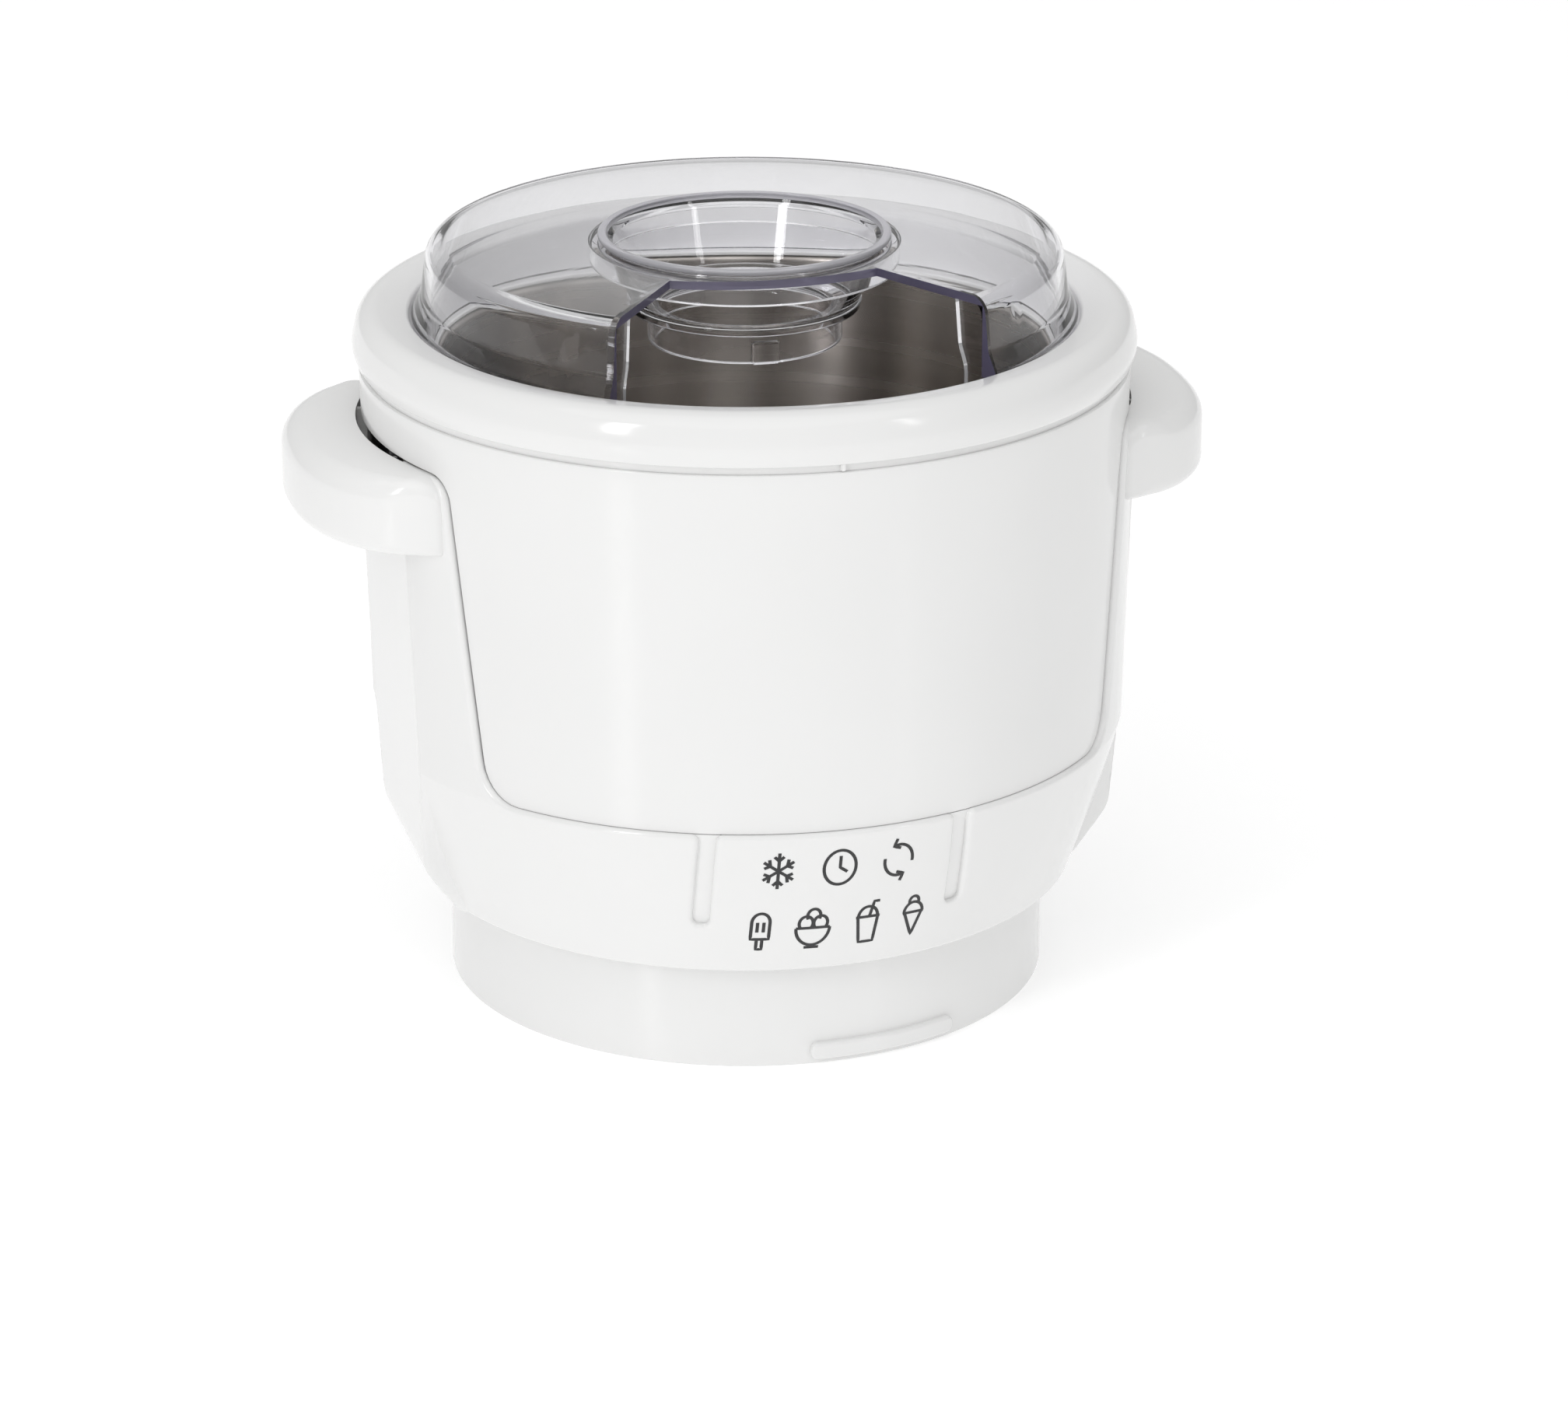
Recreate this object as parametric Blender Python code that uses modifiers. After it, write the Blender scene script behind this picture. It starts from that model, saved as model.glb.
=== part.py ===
"""Ice cream maker bowl for a stand mixer, built as separate pieces.

A white moulded holder with two half-moon handles stands on a round foot. The
cooling container (white rim, white shell, steel bowl, coolant) lifts out of the
holder. A clear lid with a filling opening and a clear funnel closes it, and a
paddle turns on a pin in the middle of the bowl.

The front of the object faces -Y, the handles are on -X and +X, and the foot
stands on z = 0. Dimensions are in millimetres and are scaled by MM.
"""
import math

import bmesh
import bpy
from mathutils import Matrix

MM = 0.001
NAME = "ice_cream_maker"

# Turning resolution
ROUND = 72
HIDDEN_ROUND = 48
SMALL_ROUND = 32
PIN_ROUND = 36
CORNER_STEPS = 6
STRAIGHT_STEPS = 5

# Foot
FOOT_R = 80.0
FOOT_H = 29.4
FOOT_WALL = 3.2
FOOT_FLANGE_R = 60.0
FOOT_FLANGE_T = 3.2
LUG_COUNT = 2
LUG_START_DEG = -2.0
LUG_SPAN_DEG = 30.0
LUG_Z = (1.6, 6.2)
LUG_PROUD = 1.8

# Holder: cup, arms and handles
GAP = 0.3
HOLDER_BASE_Z = FOOT_H + GAP
FLOOR_Z = 33.2
BAND_LOW = (88.2, 32.4)
LIP_Z = 72.7
LIP_R = 101.0
ARM_TOP_Z = 156.6
ARM_TOP_R = 102.7
WALL = 3.2
BAND_BULGE = 0.6

# Seam between an arm and the front or rear panel, as arc length at SEAM_R
SEAM_R = 101.0
SEAM_AT_LIP = 98.6
SEAM_AT_TOP = 110.0
PANEL_CORNER = 12.0
ARM_CORNER = 7.0
PANEL_GAP = 0.8

# Flat boxes under the handles: distance of the flat face from the axis
FLAT_TOP = (97.9, 138.0)
FLAT_LOW = (94.2, 42.8)
FLAT_FOOT = (86.0, 32.2)
FLAT_HALF_TOP = 32.0
FLAT_HALF_LOW = 28.0
FLAT_NARROWS = (33.0, 80.0)
FLAT_EDGE = 2.2
FLAT_ROUND = 6.0
SLAB_TOP_Z = 143.0
SLAB_TOP_R = (94.2, 99.6)
SLAB_BACK = [(84.8, 34.2), (88.2, 46.0), (92.2, 74.0)]

# Handles
HANDLE_Z = (136.4, ARM_TOP_Z + 0.15)
HANDLE_BASE = 87.0
HANDLE_REACH = 35.5
HANDLE_HALF = 47.4
HANDLE_POWER = 2.3
HANDLE_ROUND = 4.6
HANDLE_TAIL = 7.0
HANDLE_SEAT_R = 100.4
HANDLE_SEAT_DEG = (26, -27, -8)
HANDLE_SKIN = 3.2
GRIP_R = 105.6
GRIP_HALF = 38.0
CRESCENT_R = 76.0
CRESCENT_OFFSET = 27.1
CRESCENT_FLOOR = 141.0

# Label tab slots
SLOT_X = 33.6
SLOT_W = 5.0
SLOT_LOW_Z = 45.0
SLOT_DEPTH = 1.5

# Screws of the foot
SCREW_RING_R = 70.0
SCREW_FIRST_DEG = 40
SCREW_COUNT = 3
SCREW_HOLE_R = 2.1
SCREW_R = 1.7
SCREW_TOP_Z = 34.4
SCREW_HEAD_R = 3.7
SCREW_HEAD_H = 2.4
SCREW_HEX_R = 1.9
SCREW_HEX_DEPTH = 1.3
BOSS_R = 4.6
BOSS_TOP_Z = 36.2

# Container
RIM_INNER = (88.2, 182.9)
RIM_RIDGE = (101.0, 185.2)
RIM_WIDEST = (103.6, 174.8)
RIM_FOOT_R = 102.0
RIM_LIP = (82.8, 171.3)
RIM_SEAT = (86.9, 171.5, 0.8)
SKIRT_R = (97.2, 98.4)
SKIRT_LOW_Z = 163.0
GROOVE_R = 99.6
GROOVE_Z = (169.0, 171.2)
SHELL_TOP_R = 101.5
SHELL_LOW_R = 99.3
SHELL_T = 2.4
SEAT_Z = 36.7
SEAT_RING_R = (50.0, 58.0)
BOWL_FLOOR_Z = 66.0
BOWL_RIM_Z = 169.7
BOWL_TOP_R = 82.2
BOWL_LOW_R = 76.0
SHEET = 1.0
JACKET_TOP_R = 93.4
JACKET_LOW_R = 83.7
JACKET_BASE_Z = 43.0
JACKET_RIM_R = 96.5
JACKET_RIM_Z = 166.0
BOWL_FLANGE_R = 96.0
COOLANT_TOP_R = (83.0, 91.6)
COOLANT_TOP_Z = 160.0
GASKET_R = (93.8, 96.4)
BASE_R = 83.0
BASE_TOP_Z = 40.7
PLUG_X = 40.0
PLUG_R = 3.9
PLUG_HEAD_R = 7.0

# Lid and funnel, both turned a little against the label
LID_TURN_DEG = -2.0
LID_TOP_Z = 201.5
LID_T = 2.2
LID_HOLE_R = 37.0
LID_LOW_Z = 171.9
LID_OUTER = [(83.1, LID_TOP_Z, 5.0), (84.8, 187.6, 3.0), (87.5, 182.4, 0.8)]
LID_INNER = [(84.4, 181.6), (82.3, 187.0), (80.9, LID_TOP_Z - LID_T, 3.2)]
LID_OUTER_LOW_R = 86.3
LID_INNER_LOW_R = 83.6
HUB_R = 40.5
HUB_INNER_R = 38.4
HUB_LOW_Z = 194.2
CUT_CORNER = (27.1, 36.0)
CUT_ARC_R = 72.5
CUT_ARC_CENTRE_Y = 31.3
CUT_ANGLE_DEG = 32.0
CUT_REACH = 70.0
CUT_LOW_Z = 180.6
WEB_T = 2.4
WEB_SIDE = [(31.5, LID_LOW_Z + 2.0), (40.0, LID_LOW_Z + 2.0), (40.8, 181.8), (38.5, 187.3),
            (37.2, 195.5), (35.5, 199.5), (28.0, 199.5), (29.3, 187.3), (31.5, 182.0)]
FUNNEL_TOP_Z = 203.4
THROAT_LOW_Z = 174.4

# Paddle
PIN_R = 3.0
PIN_TOP_Z = 73.0
PIN_FLANGE = (9.0, 2.0)
RUNNING_GAP = 0.06
BUSH_R = 5.0
BUSH_FLANGE_R = 8.4
BUSH_FLANGE_Z = (68.7, 73.6)
BUSH_TOP_Z = 84.0
PADDLE_LOW_Z = 74.0
PADDLE_HALF = 65.5
PADDLE_T = 5.0
HUB_OUTER_R = 9.6
HUB_TOP_Z = 144.0
PADDLE_ARM_TOP_Z = (111.0, 122.0)
ARM_FRAME = 9.5
SCRAPER_Z = (84.0, 106.0)
SCRAPER_T = 1.6
SCRAPER_GRIP = 7.0
SCRAPER_PROUD = 2.3
SOCKET_R = 6.1
SOCKET_DEPTH = 13.7
HEX_R = 4.6
HEX_DEPTH = 11.5


def clear_scene():
    """Remove every object that the file opened with."""
    for obj in list(bpy.data.objects):
        bpy.data.objects.remove(obj, do_unlink=True)


def new_collection(name):
    """Make a collection under the scene's own."""
    collection = bpy.data.collections.new(name)
    bpy.context.scene.collection.children.link(collection)
    return collection


def material(name, colour, roughness, metallic=0.0, transmission=0.0):
    """Make a Principled material."""
    mat = bpy.data.materials.new(name)
    mat.use_nodes = True
    shader = mat.node_tree.nodes["Principled BSDF"]
    shader.inputs["Base Color"].default_value = (*colour, 1.0)
    shader.inputs["Roughness"].default_value = roughness
    shader.inputs["Metallic"].default_value = metallic
    shader.inputs["Transmission Weight"].default_value = transmission
    return mat


def place(name, mesh, mat=None):
    """Put a mesh in the scene: a part when it has a material, or else a cutter."""
    obj = bpy.data.objects.new(name, mesh)
    if mat is None:
        CUTTERS.objects.link(obj)
        obj.hide_render = True
        obj.display_type = "WIRE"
    else:
        PARTS.objects.link(obj)
        mesh.materials.append(mat)
    return obj


def mesh_from(bm, name):
    """Write a bmesh to a new mesh, in metres."""
    bmesh.ops.scale(bm, vec=(MM, MM, MM), verts=bm.verts)
    mesh = bpy.data.meshes.new(name)
    bm.to_mesh(mesh)
    bm.free()
    return mesh


def arc_steps(radius):
    """Number of straight pieces in a quarter circle of this radius."""
    if radius < 1.0:
        return 1
    if radius < 3.0:
        return 2
    return 3 if radius < 7.0 else 5


def rounded(points):
    """Replace each (r, z, radius) corner of a profile by an arc."""
    result = []
    count = len(points)
    for i, point in enumerate(points):
        if len(point) == 2:
            result.append(point)
            continue
        x, y, radius = point
        before, after = points[i - 1], points[(i + 1) % count]
        a = math.atan2(before[1] - y, before[0] - x)
        b = math.atan2(after[1] - y, after[0] - x)
        turn = (b - a + math.pi) % (2 * math.pi) - math.pi
        reach = radius / abs(math.tan(turn / 2))
        middle = a + turn / 2
        away = radius / abs(math.sin(turn / 2))
        cx, cy = x + away * math.cos(middle), y + away * math.sin(middle)
        start = math.atan2(y + reach * math.sin(a) - cy, x + reach * math.cos(a) - cx)
        end = math.atan2(y + reach * math.sin(b) - cy, x + reach * math.cos(b) - cx)
        sweep = (end - start + math.pi) % (2 * math.pi) - math.pi
        steps = max(1, round(abs(sweep) / math.radians(90) * arc_steps(radius)))
        for k in range(steps + 1):
            angle = start + sweep * k / steps
            result.append((cx + radius * math.cos(angle), cy + radius * math.sin(angle)))
    return result


def turned(name, points, mat=None, steps=ROUND, centre=(0.0, 0.0)):
    """Turn a profile about the vertical through centre with a Screw modifier.

    The points run outwards along the top, down the outer side, and back. A
    profile that starts on the axis is open there; any other is a closed loop.
    """
    profile = rounded(points)
    on_axis = profile[0][0] == 0.0
    bm = bmesh.new()
    verts = [bm.verts.new((r, 0.0, z)) for r, z in profile]
    last = len(verts) - 1 if on_axis else len(verts)
    for i in range(last):
        bm.edges.new((verts[i], verts[(i + 1) % len(verts)]))
    obj = place(name, mesh_from(bm, name), mat)
    obj.location = (centre[0] * MM, centre[1] * MM, 0.0)
    screw = obj.modifiers.new("turn", "SCREW")
    screw.angle = 2 * math.pi
    screw.steps = steps
    screw.render_steps = steps
    screw.use_merge_vertices = True
    screw.merge_threshold = 0.00001
    screw.use_smooth_shade = True
    return obj


def plate(name, outlines, low, high, mat=None):
    """Extrude flat outlines (the later ones are holes) from low to high along Z."""
    curve = bpy.data.curves.new(name, "CURVE")
    curve.dimensions = "2D"
    curve.fill_mode = "BOTH"
    curve.extrude = (high - low) / 2 * MM
    for outline in outlines:
        spline = curve.splines.new("POLY")
        spline.points.add(len(outline) - 1)
        spline.use_cyclic_u = True
        for slot, (x, y) in zip(spline.points, outline):
            slot.co = (x * MM, y * MM, 0.0, 1.0)
    guide = bpy.data.objects.new(name + "_outline", curve)
    CUTTERS.objects.link(guide)
    evaluated = guide.evaluated_get(bpy.context.evaluated_depsgraph_get())
    mesh = bpy.data.meshes.new_from_object(evaluated)
    bpy.data.objects.remove(guide, do_unlink=True)
    bm = bmesh.new()
    bm.from_mesh(mesh)
    bmesh.ops.remove_doubles(bm, verts=bm.verts, dist=0.001 * MM)
    bmesh.ops.dissolve_limit(bm, angle_limit=0.001, verts=bm.verts, edges=bm.edges)
    bmesh.ops.translate(bm, vec=(0.0, 0.0, (low + high) / 2 * MM), verts=bm.verts)
    bmesh.ops.recalc_face_normals(bm, faces=bm.faces)
    bm.to_mesh(mesh)
    bm.free()
    mesh.name = name
    return place(name, mesh, mat)


def block(name, low, high, mat=None):
    """Make a box between two corners."""
    bm = bmesh.new()
    bmesh.ops.create_cube(bm, size=1.0)
    size = [high[i] - low[i] for i in range(3)]
    middle = [(high[i] + low[i]) / 2 for i in range(3)]
    bmesh.ops.scale(bm, vec=size, verts=bm.verts)
    bmesh.ops.translate(bm, vec=middle, verts=bm.verts)
    return place(name, mesh_from(bm, name), mat)


def cylinder(name, centre, radius, low, high, mat=None, sides=SMALL_ROUND):
    """Make a vertical cylinder."""
    bm = bmesh.new()
    bmesh.ops.create_cone(bm, cap_ends=True, segments=sides, radius1=radius,
                          radius2=radius, depth=high - low)
    bmesh.ops.translate(bm, vec=(*centre, (low + high) / 2), verts=bm.verts)
    return place(name, mesh_from(bm, name), mat)


def wrapped(name, rows, middle_deg, radius, thickness, columns):
    """Make a block that lies on a cylinder.

    Each row is (height, half width), the half width an arc length at SEAM_R.
    The block is centred on middle_deg, counted from the front towards +X.
    """
    bm = bmesh.new()
    bmesh.ops.create_grid(bm, x_segments=columns, y_segments=len(rows) - 1, size=1.0)
    extruded = bmesh.ops.extrude_face_region(bm, geom=bm.faces[:])
    outer = {item for item in extruded["geom"] if isinstance(item, bmesh.types.BMVert)}
    for vert in bm.verts:
        row = round((vert.co.y + 1) / 2 * (len(rows) - 1))
        z, half = rows[row]
        angle = math.radians(middle_deg) + vert.co.x * half / SEAM_R
        reach = radius + thickness if vert in outer else radius
        vert.co = (reach * math.sin(angle), -reach * math.cos(angle), z)
    bmesh.ops.recalc_face_normals(bm, faces=bm.faces)
    return place(name, mesh_from(bm, name))


def combine(target, tool, operation):
    """Cut a tool from a part, or join it to the part."""
    modifier = target.modifiers.new(tool.name, "BOOLEAN")
    modifier.operation = operation
    modifier.solver = "EXACT"
    modifier.object = tool


def cut(target, tool):
    combine(target, tool, "DIFFERENCE")


def join(target, tool):
    combine(target, tool, "UNION")


def round_edges(obj, radius, segments, chosen):
    """Round the edges of a mesh that the chosen test accepts."""
    bm = bmesh.new()
    bm.from_mesh(obj.data)
    edges = [edge for edge in bm.edges if chosen(edge)]
    bmesh.ops.bevel(bm, geom=edges, offset=radius * MM, offset_type="OFFSET", profile=0.5,
                    segments=segments, affect="EDGES", clamp_overlap=True)
    bm.to_mesh(obj.data)
    bm.free()


def transform_mesh(obj, matrix):
    """Move the vertices of a mesh, leaving the object where it is."""
    obj.data.transform(matrix)
    if matrix.is_negative:
        obj.data.flip_normals()


# ---- outlines that several pieces share ----

def mix(a, b, t):
    return a + (b - a) * t


def seam_line(z):
    """Arc distance of the seam from the front centre line at a height."""
    return mix(SEAM_AT_LIP, SEAM_AT_TOP, (z - LIP_Z) / (ARM_TOP_Z - LIP_Z))


def seam_rows(gap):
    """Rows of (height, arc distance) along the seam, with both rounded corners."""
    rows = []
    steps = CORNER_STEPS
    for k in range(steps + 1):
        angle = math.pi / 2 * k / steps
        z = LIP_Z + gap + PANEL_CORNER * (1 - math.cos(angle))
        rows.append((z, seam_line(z) - PANEL_CORNER * (1 - math.sin(angle)) - gap))
    straight = (rows[-1][0], ARM_TOP_Z + gap - ARM_CORNER)
    for k in range(1, STRAIGHT_STEPS):
        z = mix(*straight, k / STRAIGHT_STEPS)
        rows.append((z, seam_line(z) - gap))
    for k in range(steps + 1):
        angle = math.pi / 2 * k / steps
        z = ARM_TOP_Z + gap - ARM_CORNER * (1 - math.sin(angle))
        rows.append((z, seam_line(z) + ARM_CORNER * (1 - math.cos(angle)) - gap))
    return rows


def holder_outer():
    """Outer profile of the holder, from the arm top down to the foot."""
    steps = 6
    points = [(ARM_TOP_R, ARM_TOP_Z), (LIP_R, LIP_Z)]
    for k in range(1, steps + 1):
        t = k / steps
        radius = mix(LIP_R, BAND_LOW[0], t) + BAND_BULGE * math.sin(math.pi * t)
        points.append((radius, mix(LIP_Z, BAND_LOW[1], t)))
    return points


def flat_at(z):
    """Distance from the axis to the flat face under a handle."""
    t = (z - FLAT_LOW[1]) / (FLAT_TOP[1] - FLAT_LOW[1])
    return mix(FLAT_LOW[0], FLAT_TOP[0], t)


def handle_outline(shrink):
    """Outer edge of a handle as (distance, along), from one end to the other."""
    steps = 22
    points = []
    for k in range(steps + 1):
        angle = math.pi * (k / steps - 0.5)
        power = 2 / HANDLE_POWER
        along = math.copysign(abs(math.sin(angle)) ** power, angle)
        out = abs(math.cos(angle)) ** power if 0 < k < steps else 0.0
        points.append((HANDLE_BASE + (HANDLE_REACH - shrink) * out,
                       (HANDLE_HALF - shrink) * along))
    return points


# ---- holder group ----

def make_flat_tools():
    """Tools that make the flat box under the right handle, lying along +X."""
    beyond = HANDLE_BASE + HANDLE_REACH + 10.0
    under_grip = HANDLE_Z[0] + 1.0
    shaver_side = [FLAT_LOW, (beyond, FLAT_LOW[1]), (beyond, under_grip),
                   (flat_at(under_grip), under_grip)]
    slab_side = [(SLAB_TOP_R[0], SLAB_TOP_Z), (SLAB_TOP_R[1], SLAB_TOP_Z), FLAT_TOP,
                 (*FLAT_LOW, FLAT_ROUND), FLAT_FOOT, *SLAB_BACK]
    upright = Matrix.Rotation(math.pi / 2, 4, "X")
    inset = 0.6
    shaver = plate("flat_cutter", [shaver_side], inset - FLAT_HALF_TOP, FLAT_HALF_TOP - inset)
    transform_mesh(shaver, upright)
    slab = plate("flat_box", [rounded(slab_side)], -FLAT_HALF_TOP, FLAT_HALF_TOP)
    transform_mesh(slab, upright)
    low_z, high_z = FLAT_NARROWS
    for vert in slab.data.vertices:
        t = min(1.0, max(0.0, (vert.co.z / MM - low_z) / (high_z - low_z)))
        vert.co.y *= mix(FLAT_HALF_LOW, FLAT_HALF_TOP, t) / FLAT_HALF_TOP
        vert.co.x += 0.05 * MM
    edges = slab.modifiers.new("edges", "BEVEL")
    edges.width = FLAT_EDGE * MM
    edges.segments = 3
    edges.limit_method = "ANGLE"
    edges.angle_limit = math.radians(60)
    return shaver, slab


def on_handle_edge(edge):
    """Tell whether an edge lies along the top or bottom of a handle's outer face."""
    level = abs(edge.verts[0].co.z - edge.verts[1].co.z) < 0.1 * MM
    past_seat = HANDLE_SEAT_R + 0.6
    return level and all(vert.co.x > (HANDLE_BASE - HANDLE_TAIL - 1.0) * MM
                         and (vert.co.xy.length > past_seat * MM
                              or abs(vert.co.y) > (HANDLE_HALF - 0.6) * MM)
                         for vert in edge.verts)


def make_handle_tools():
    """Tools that make the right handle: its body, finger hollow and crescent gap."""
    seat = [(HANDLE_SEAT_R * math.cos(math.radians(d)), HANDLE_SEAT_R * math.sin(math.radians(d)))
            for d in range(*HANDLE_SEAT_DEG)]
    tail = HANDLE_BASE - HANDLE_TAIL
    outline = handle_outline(0.0) + [(tail, HANDLE_HALF)] + seat + [(tail, -HANDLE_HALF)]
    body = plate("handle_body", [outline], *HANDLE_Z)
    round_edges(body, HANDLE_ROUND, 4, on_handle_edge)
    grip_outer = [p for p in handle_outline(HANDLE_SKIN) if abs(p[1]) <= GRIP_HALF]
    grip_inner = [(math.sqrt(GRIP_R ** 2 - y * y), y) for y in (34.0, 17.0, 0.0, -17.0, -34.0)]
    grip = plate("finger_hollow", [grip_outer + grip_inner],
                 HANDLE_Z[0] - 5.0, HANDLE_Z[1] - HANDLE_SKIN)
    crescent = cylinder("crescent_gap", (CRESCENT_OFFSET, 0.0), CRESCENT_R,
                        CRESCENT_FLOOR, ARM_TOP_Z + 10.0, sides=ROUND)
    return body, grip, crescent


def other_side(obj):
    """Copy a tool of the right arm to the left arm."""
    copy = obj.copy()
    copy.data = obj.data.copy()
    copy.name = obj.name + "_left"
    CUTTERS.objects.link(copy)
    transform_mesh(copy, Matrix.Scale(-1.0, 4, (1.0, 0.0, 0.0)))
    return copy


def make_slot(side):
    """Groove beside the label tab, with a round lower end, following the band."""
    steps = 6
    half = SLOT_W / 2
    centre_z = SLOT_LOW_Z + half
    outline = [(side * SLOT_X + half, LIP_Z + 5.0), (side * SLOT_X - half, LIP_Z + 5.0)]
    for k in range(steps + 1):
        angle = math.pi + math.pi * k / steps
        outline.append((side * SLOT_X + half * math.cos(angle), centre_z + half * math.sin(angle)))
    inner, outer = 0.0, 40.0
    slot = plate("slot", [outline], inner, outer)
    transform_mesh(slot, Matrix.Rotation(math.pi / 2, 4, "X"))
    slope = (LIP_R - BAND_LOW[0]) / (LIP_Z - BAND_LOW[1])
    for vert in slot.data.vertices:
        if vert.co.y > -(inner + outer) / 2 * MM:
            radius = BAND_LOW[0] + slope * (vert.co.z / MM - BAND_LOW[1])
            vert.co.y = (SLOT_DEPTH - math.sqrt(radius ** 2 - SLOT_X ** 2)) * MM
        else:
            vert.co.y = -(LIP_R + 20.0) * MM
    return slot


def screw_places():
    """Centres of the screws that hold the foot."""
    angles = [math.radians(SCREW_FIRST_DEG + 360 / SCREW_COUNT * k) for k in range(SCREW_COUNT)]
    return [(SCREW_RING_R * math.cos(a), SCREW_RING_R * math.sin(a)) for a in angles]


def make_outer_holder():
    """Cup with two arms and handles, open at the front and the rear above the lip."""
    floor_r = BAND_LOW[0] - WALL - 0.6
    profile = [(0.0, FLOOR_Z), (floor_r, FLOOR_Z, 2.0), (LIP_R - WALL, LIP_Z),
               (ARM_TOP_R - WALL, ARM_TOP_Z)]
    profile += holder_outer()
    profile += [(86.6, HOLDER_BASE_Z + 0.4), (84.6, HOLDER_BASE_Z), (0.0, HOLDER_BASE_Z)]
    holder = turned("outer_holder", profile, WHITE)
    shaver, slab = make_flat_tools()
    body, grip, crescent = make_handle_tools()
    for tool in (shaver, other_side(shaver)):
        cut(holder, tool)
    for tool in (slab, other_side(slab), body, other_side(body)):
        join(holder, tool)
    for tool in (crescent, other_side(crescent), grip, other_side(grip)):
        cut(holder, tool)
    seam = seam_rows(0.0)
    rows = seam + [(ARM_TOP_Z + 20.0, seam[-1][1])]
    for name, middle in (("front_opening", 0.0), ("rear_opening", 180.0)):
        cut(holder, wrapped(name, rows, middle, 84.0, 42.0, 24))
    for side in (-1.0, 1.0):
        cut(holder, make_slot(side))
    for centre in screw_places():
        join(holder, cylinder("boss", centre, BOSS_R, FLOOR_Z - 1.0, BOSS_TOP_Z, sides=16))
    for centre in screw_places():
        cut(holder, cylinder("boss_hole", centre, SCREW_HOLE_R, HOLDER_BASE_Z - 1.0,
                             SCREW_TOP_Z + 0.6, sides=12))
    return holder


def make_foot_ring():
    wall_in = FOOT_R - FOOT_WALL
    under = FOOT_H - FOOT_FLANGE_T
    ring = turned("foot_ring", [(FOOT_FLANGE_R, FOOT_H), (FOOT_R, FOOT_H), (FOOT_R, 0.0, 0.6),
                                (wall_in, 0.0, 0.6), (wall_in, under), (FOOT_FLANGE_R, under)],
                  WHITE)
    half = math.radians(LUG_SPAN_DEG / 2) * SEAM_R
    for k in range(LUG_COUNT):
        middle = LUG_START_DEG + LUG_SPAN_DEG / 2 + 360.0 / LUG_COUNT * k
        lug = wrapped("lug", [(LUG_Z[0], half), (LUG_Z[1], half)], middle, FOOT_R - 1.2,
                      LUG_PROUD + 1.2, 8)
        join(ring, lug)
    for centre in screw_places():
        cut(ring, cylinder("foot_hole", centre, SCREW_HOLE_R, under - 2.0, FOOT_H + 2.0,
                           sides=12))
    return ring


def make_foot_screws():
    head_top = FOOT_H - FOOT_FLANGE_T - GAP
    head_low = head_top - SCREW_HEAD_H
    for k, (x, y) in enumerate(screw_places()):
        screw = turned(f"foot_screw_{k + 1}",
                       [(0.0, SCREW_TOP_Z), (SCREW_R, SCREW_TOP_Z), (SCREW_R, head_top),
                        (SCREW_HEAD_R, head_top), (SCREW_HEAD_R, head_low, 0.8),
                        (0.0, head_low)], STEEL, 16, (x, y))
        cut(screw, cylinder("hex_recess", (x, y), SCREW_HEX_R, head_low - 1.0,
                            head_low + SCREW_HEX_DEPTH, sides=6))


def make_seat_ring():
    inner, outer = SEAT_RING_R
    low, top = FLOOR_Z + GAP, SEAT_Z - GAP
    turned("seat_ring", [(inner, top), (outer, top), (outer, low), (inner, low)],
           RUBBER, HIDDEN_ROUND)


# ---- container group ----

def make_rim_ring():
    """White rim: broad top, groove edge, and a skirt that holds the bowl and the shell."""
    joint_z = GROOVE_Z[0] + GAP
    under = BOWL_RIM_Z + GAP
    ring = turned("rim_ring", [
        (*RIM_INNER, 1.0), (*RIM_RIDGE, 5.5), (*RIM_WIDEST, 6.0), (RIM_FOOT_R, GROOVE_Z[1], 1.0),
        (GROOVE_R, GROOVE_Z[1]), (GROOVE_R, joint_z), (SKIRT_R[1], joint_z),
        (SKIRT_R[1], SKIRT_LOW_Z), (SKIRT_R[0], SKIRT_LOW_Z), (SKIRT_R[0], under),
        (RIM_LIP[0], under), RIM_LIP, RIM_SEAT], WHITE)
    mark_half = 0.7
    join(ring, block("front_mark", (-mark_half, -102.0, joint_z),
                     (mark_half, -99.0, GROOVE_Z[1] + 0.6)))
    return ring


def make_upper_shell():
    shell = turned("upper_shell", [
        (SHELL_TOP_R - SHELL_T, GROOVE_Z[0]), (SHELL_TOP_R, GROOVE_Z[0], 0.6),
        (SHELL_LOW_R, LIP_Z + PANEL_GAP), (SHELL_LOW_R - SHELL_T, LIP_Z + PANEL_GAP)], WHITE)
    quarter = math.pi / 2 * SEAM_R
    rows = seam_rows(PANEL_GAP)
    rows = [(LIP_Z - 10.0, rows[0][1])] + rows
    rows = [(z, quarter - s) for z, s in rows]
    for name, middle in (("right_arm_room", 90.0), ("left_arm_room", 270.0)):
        cut(shell, wrapped(name, rows, middle, 90.0, 20.0, 16))
    return shell


def make_inner_bowl():
    low, top = BOWL_FLOOR_Z, BOWL_RIM_Z
    turned("inner_bowl", [
        (0.0, low), (BOWL_LOW_R, low, 10.0), (BOWL_TOP_R, top, 0.9), (BOWL_FLANGE_R, top),
        (BOWL_FLANGE_R, top - SHEET), (BOWL_TOP_R + SHEET, top - SHEET),
        (BOWL_LOW_R + SHEET, low - SHEET, 11.0), (0.0, low - SHEET)], STEEL, 64)


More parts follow.
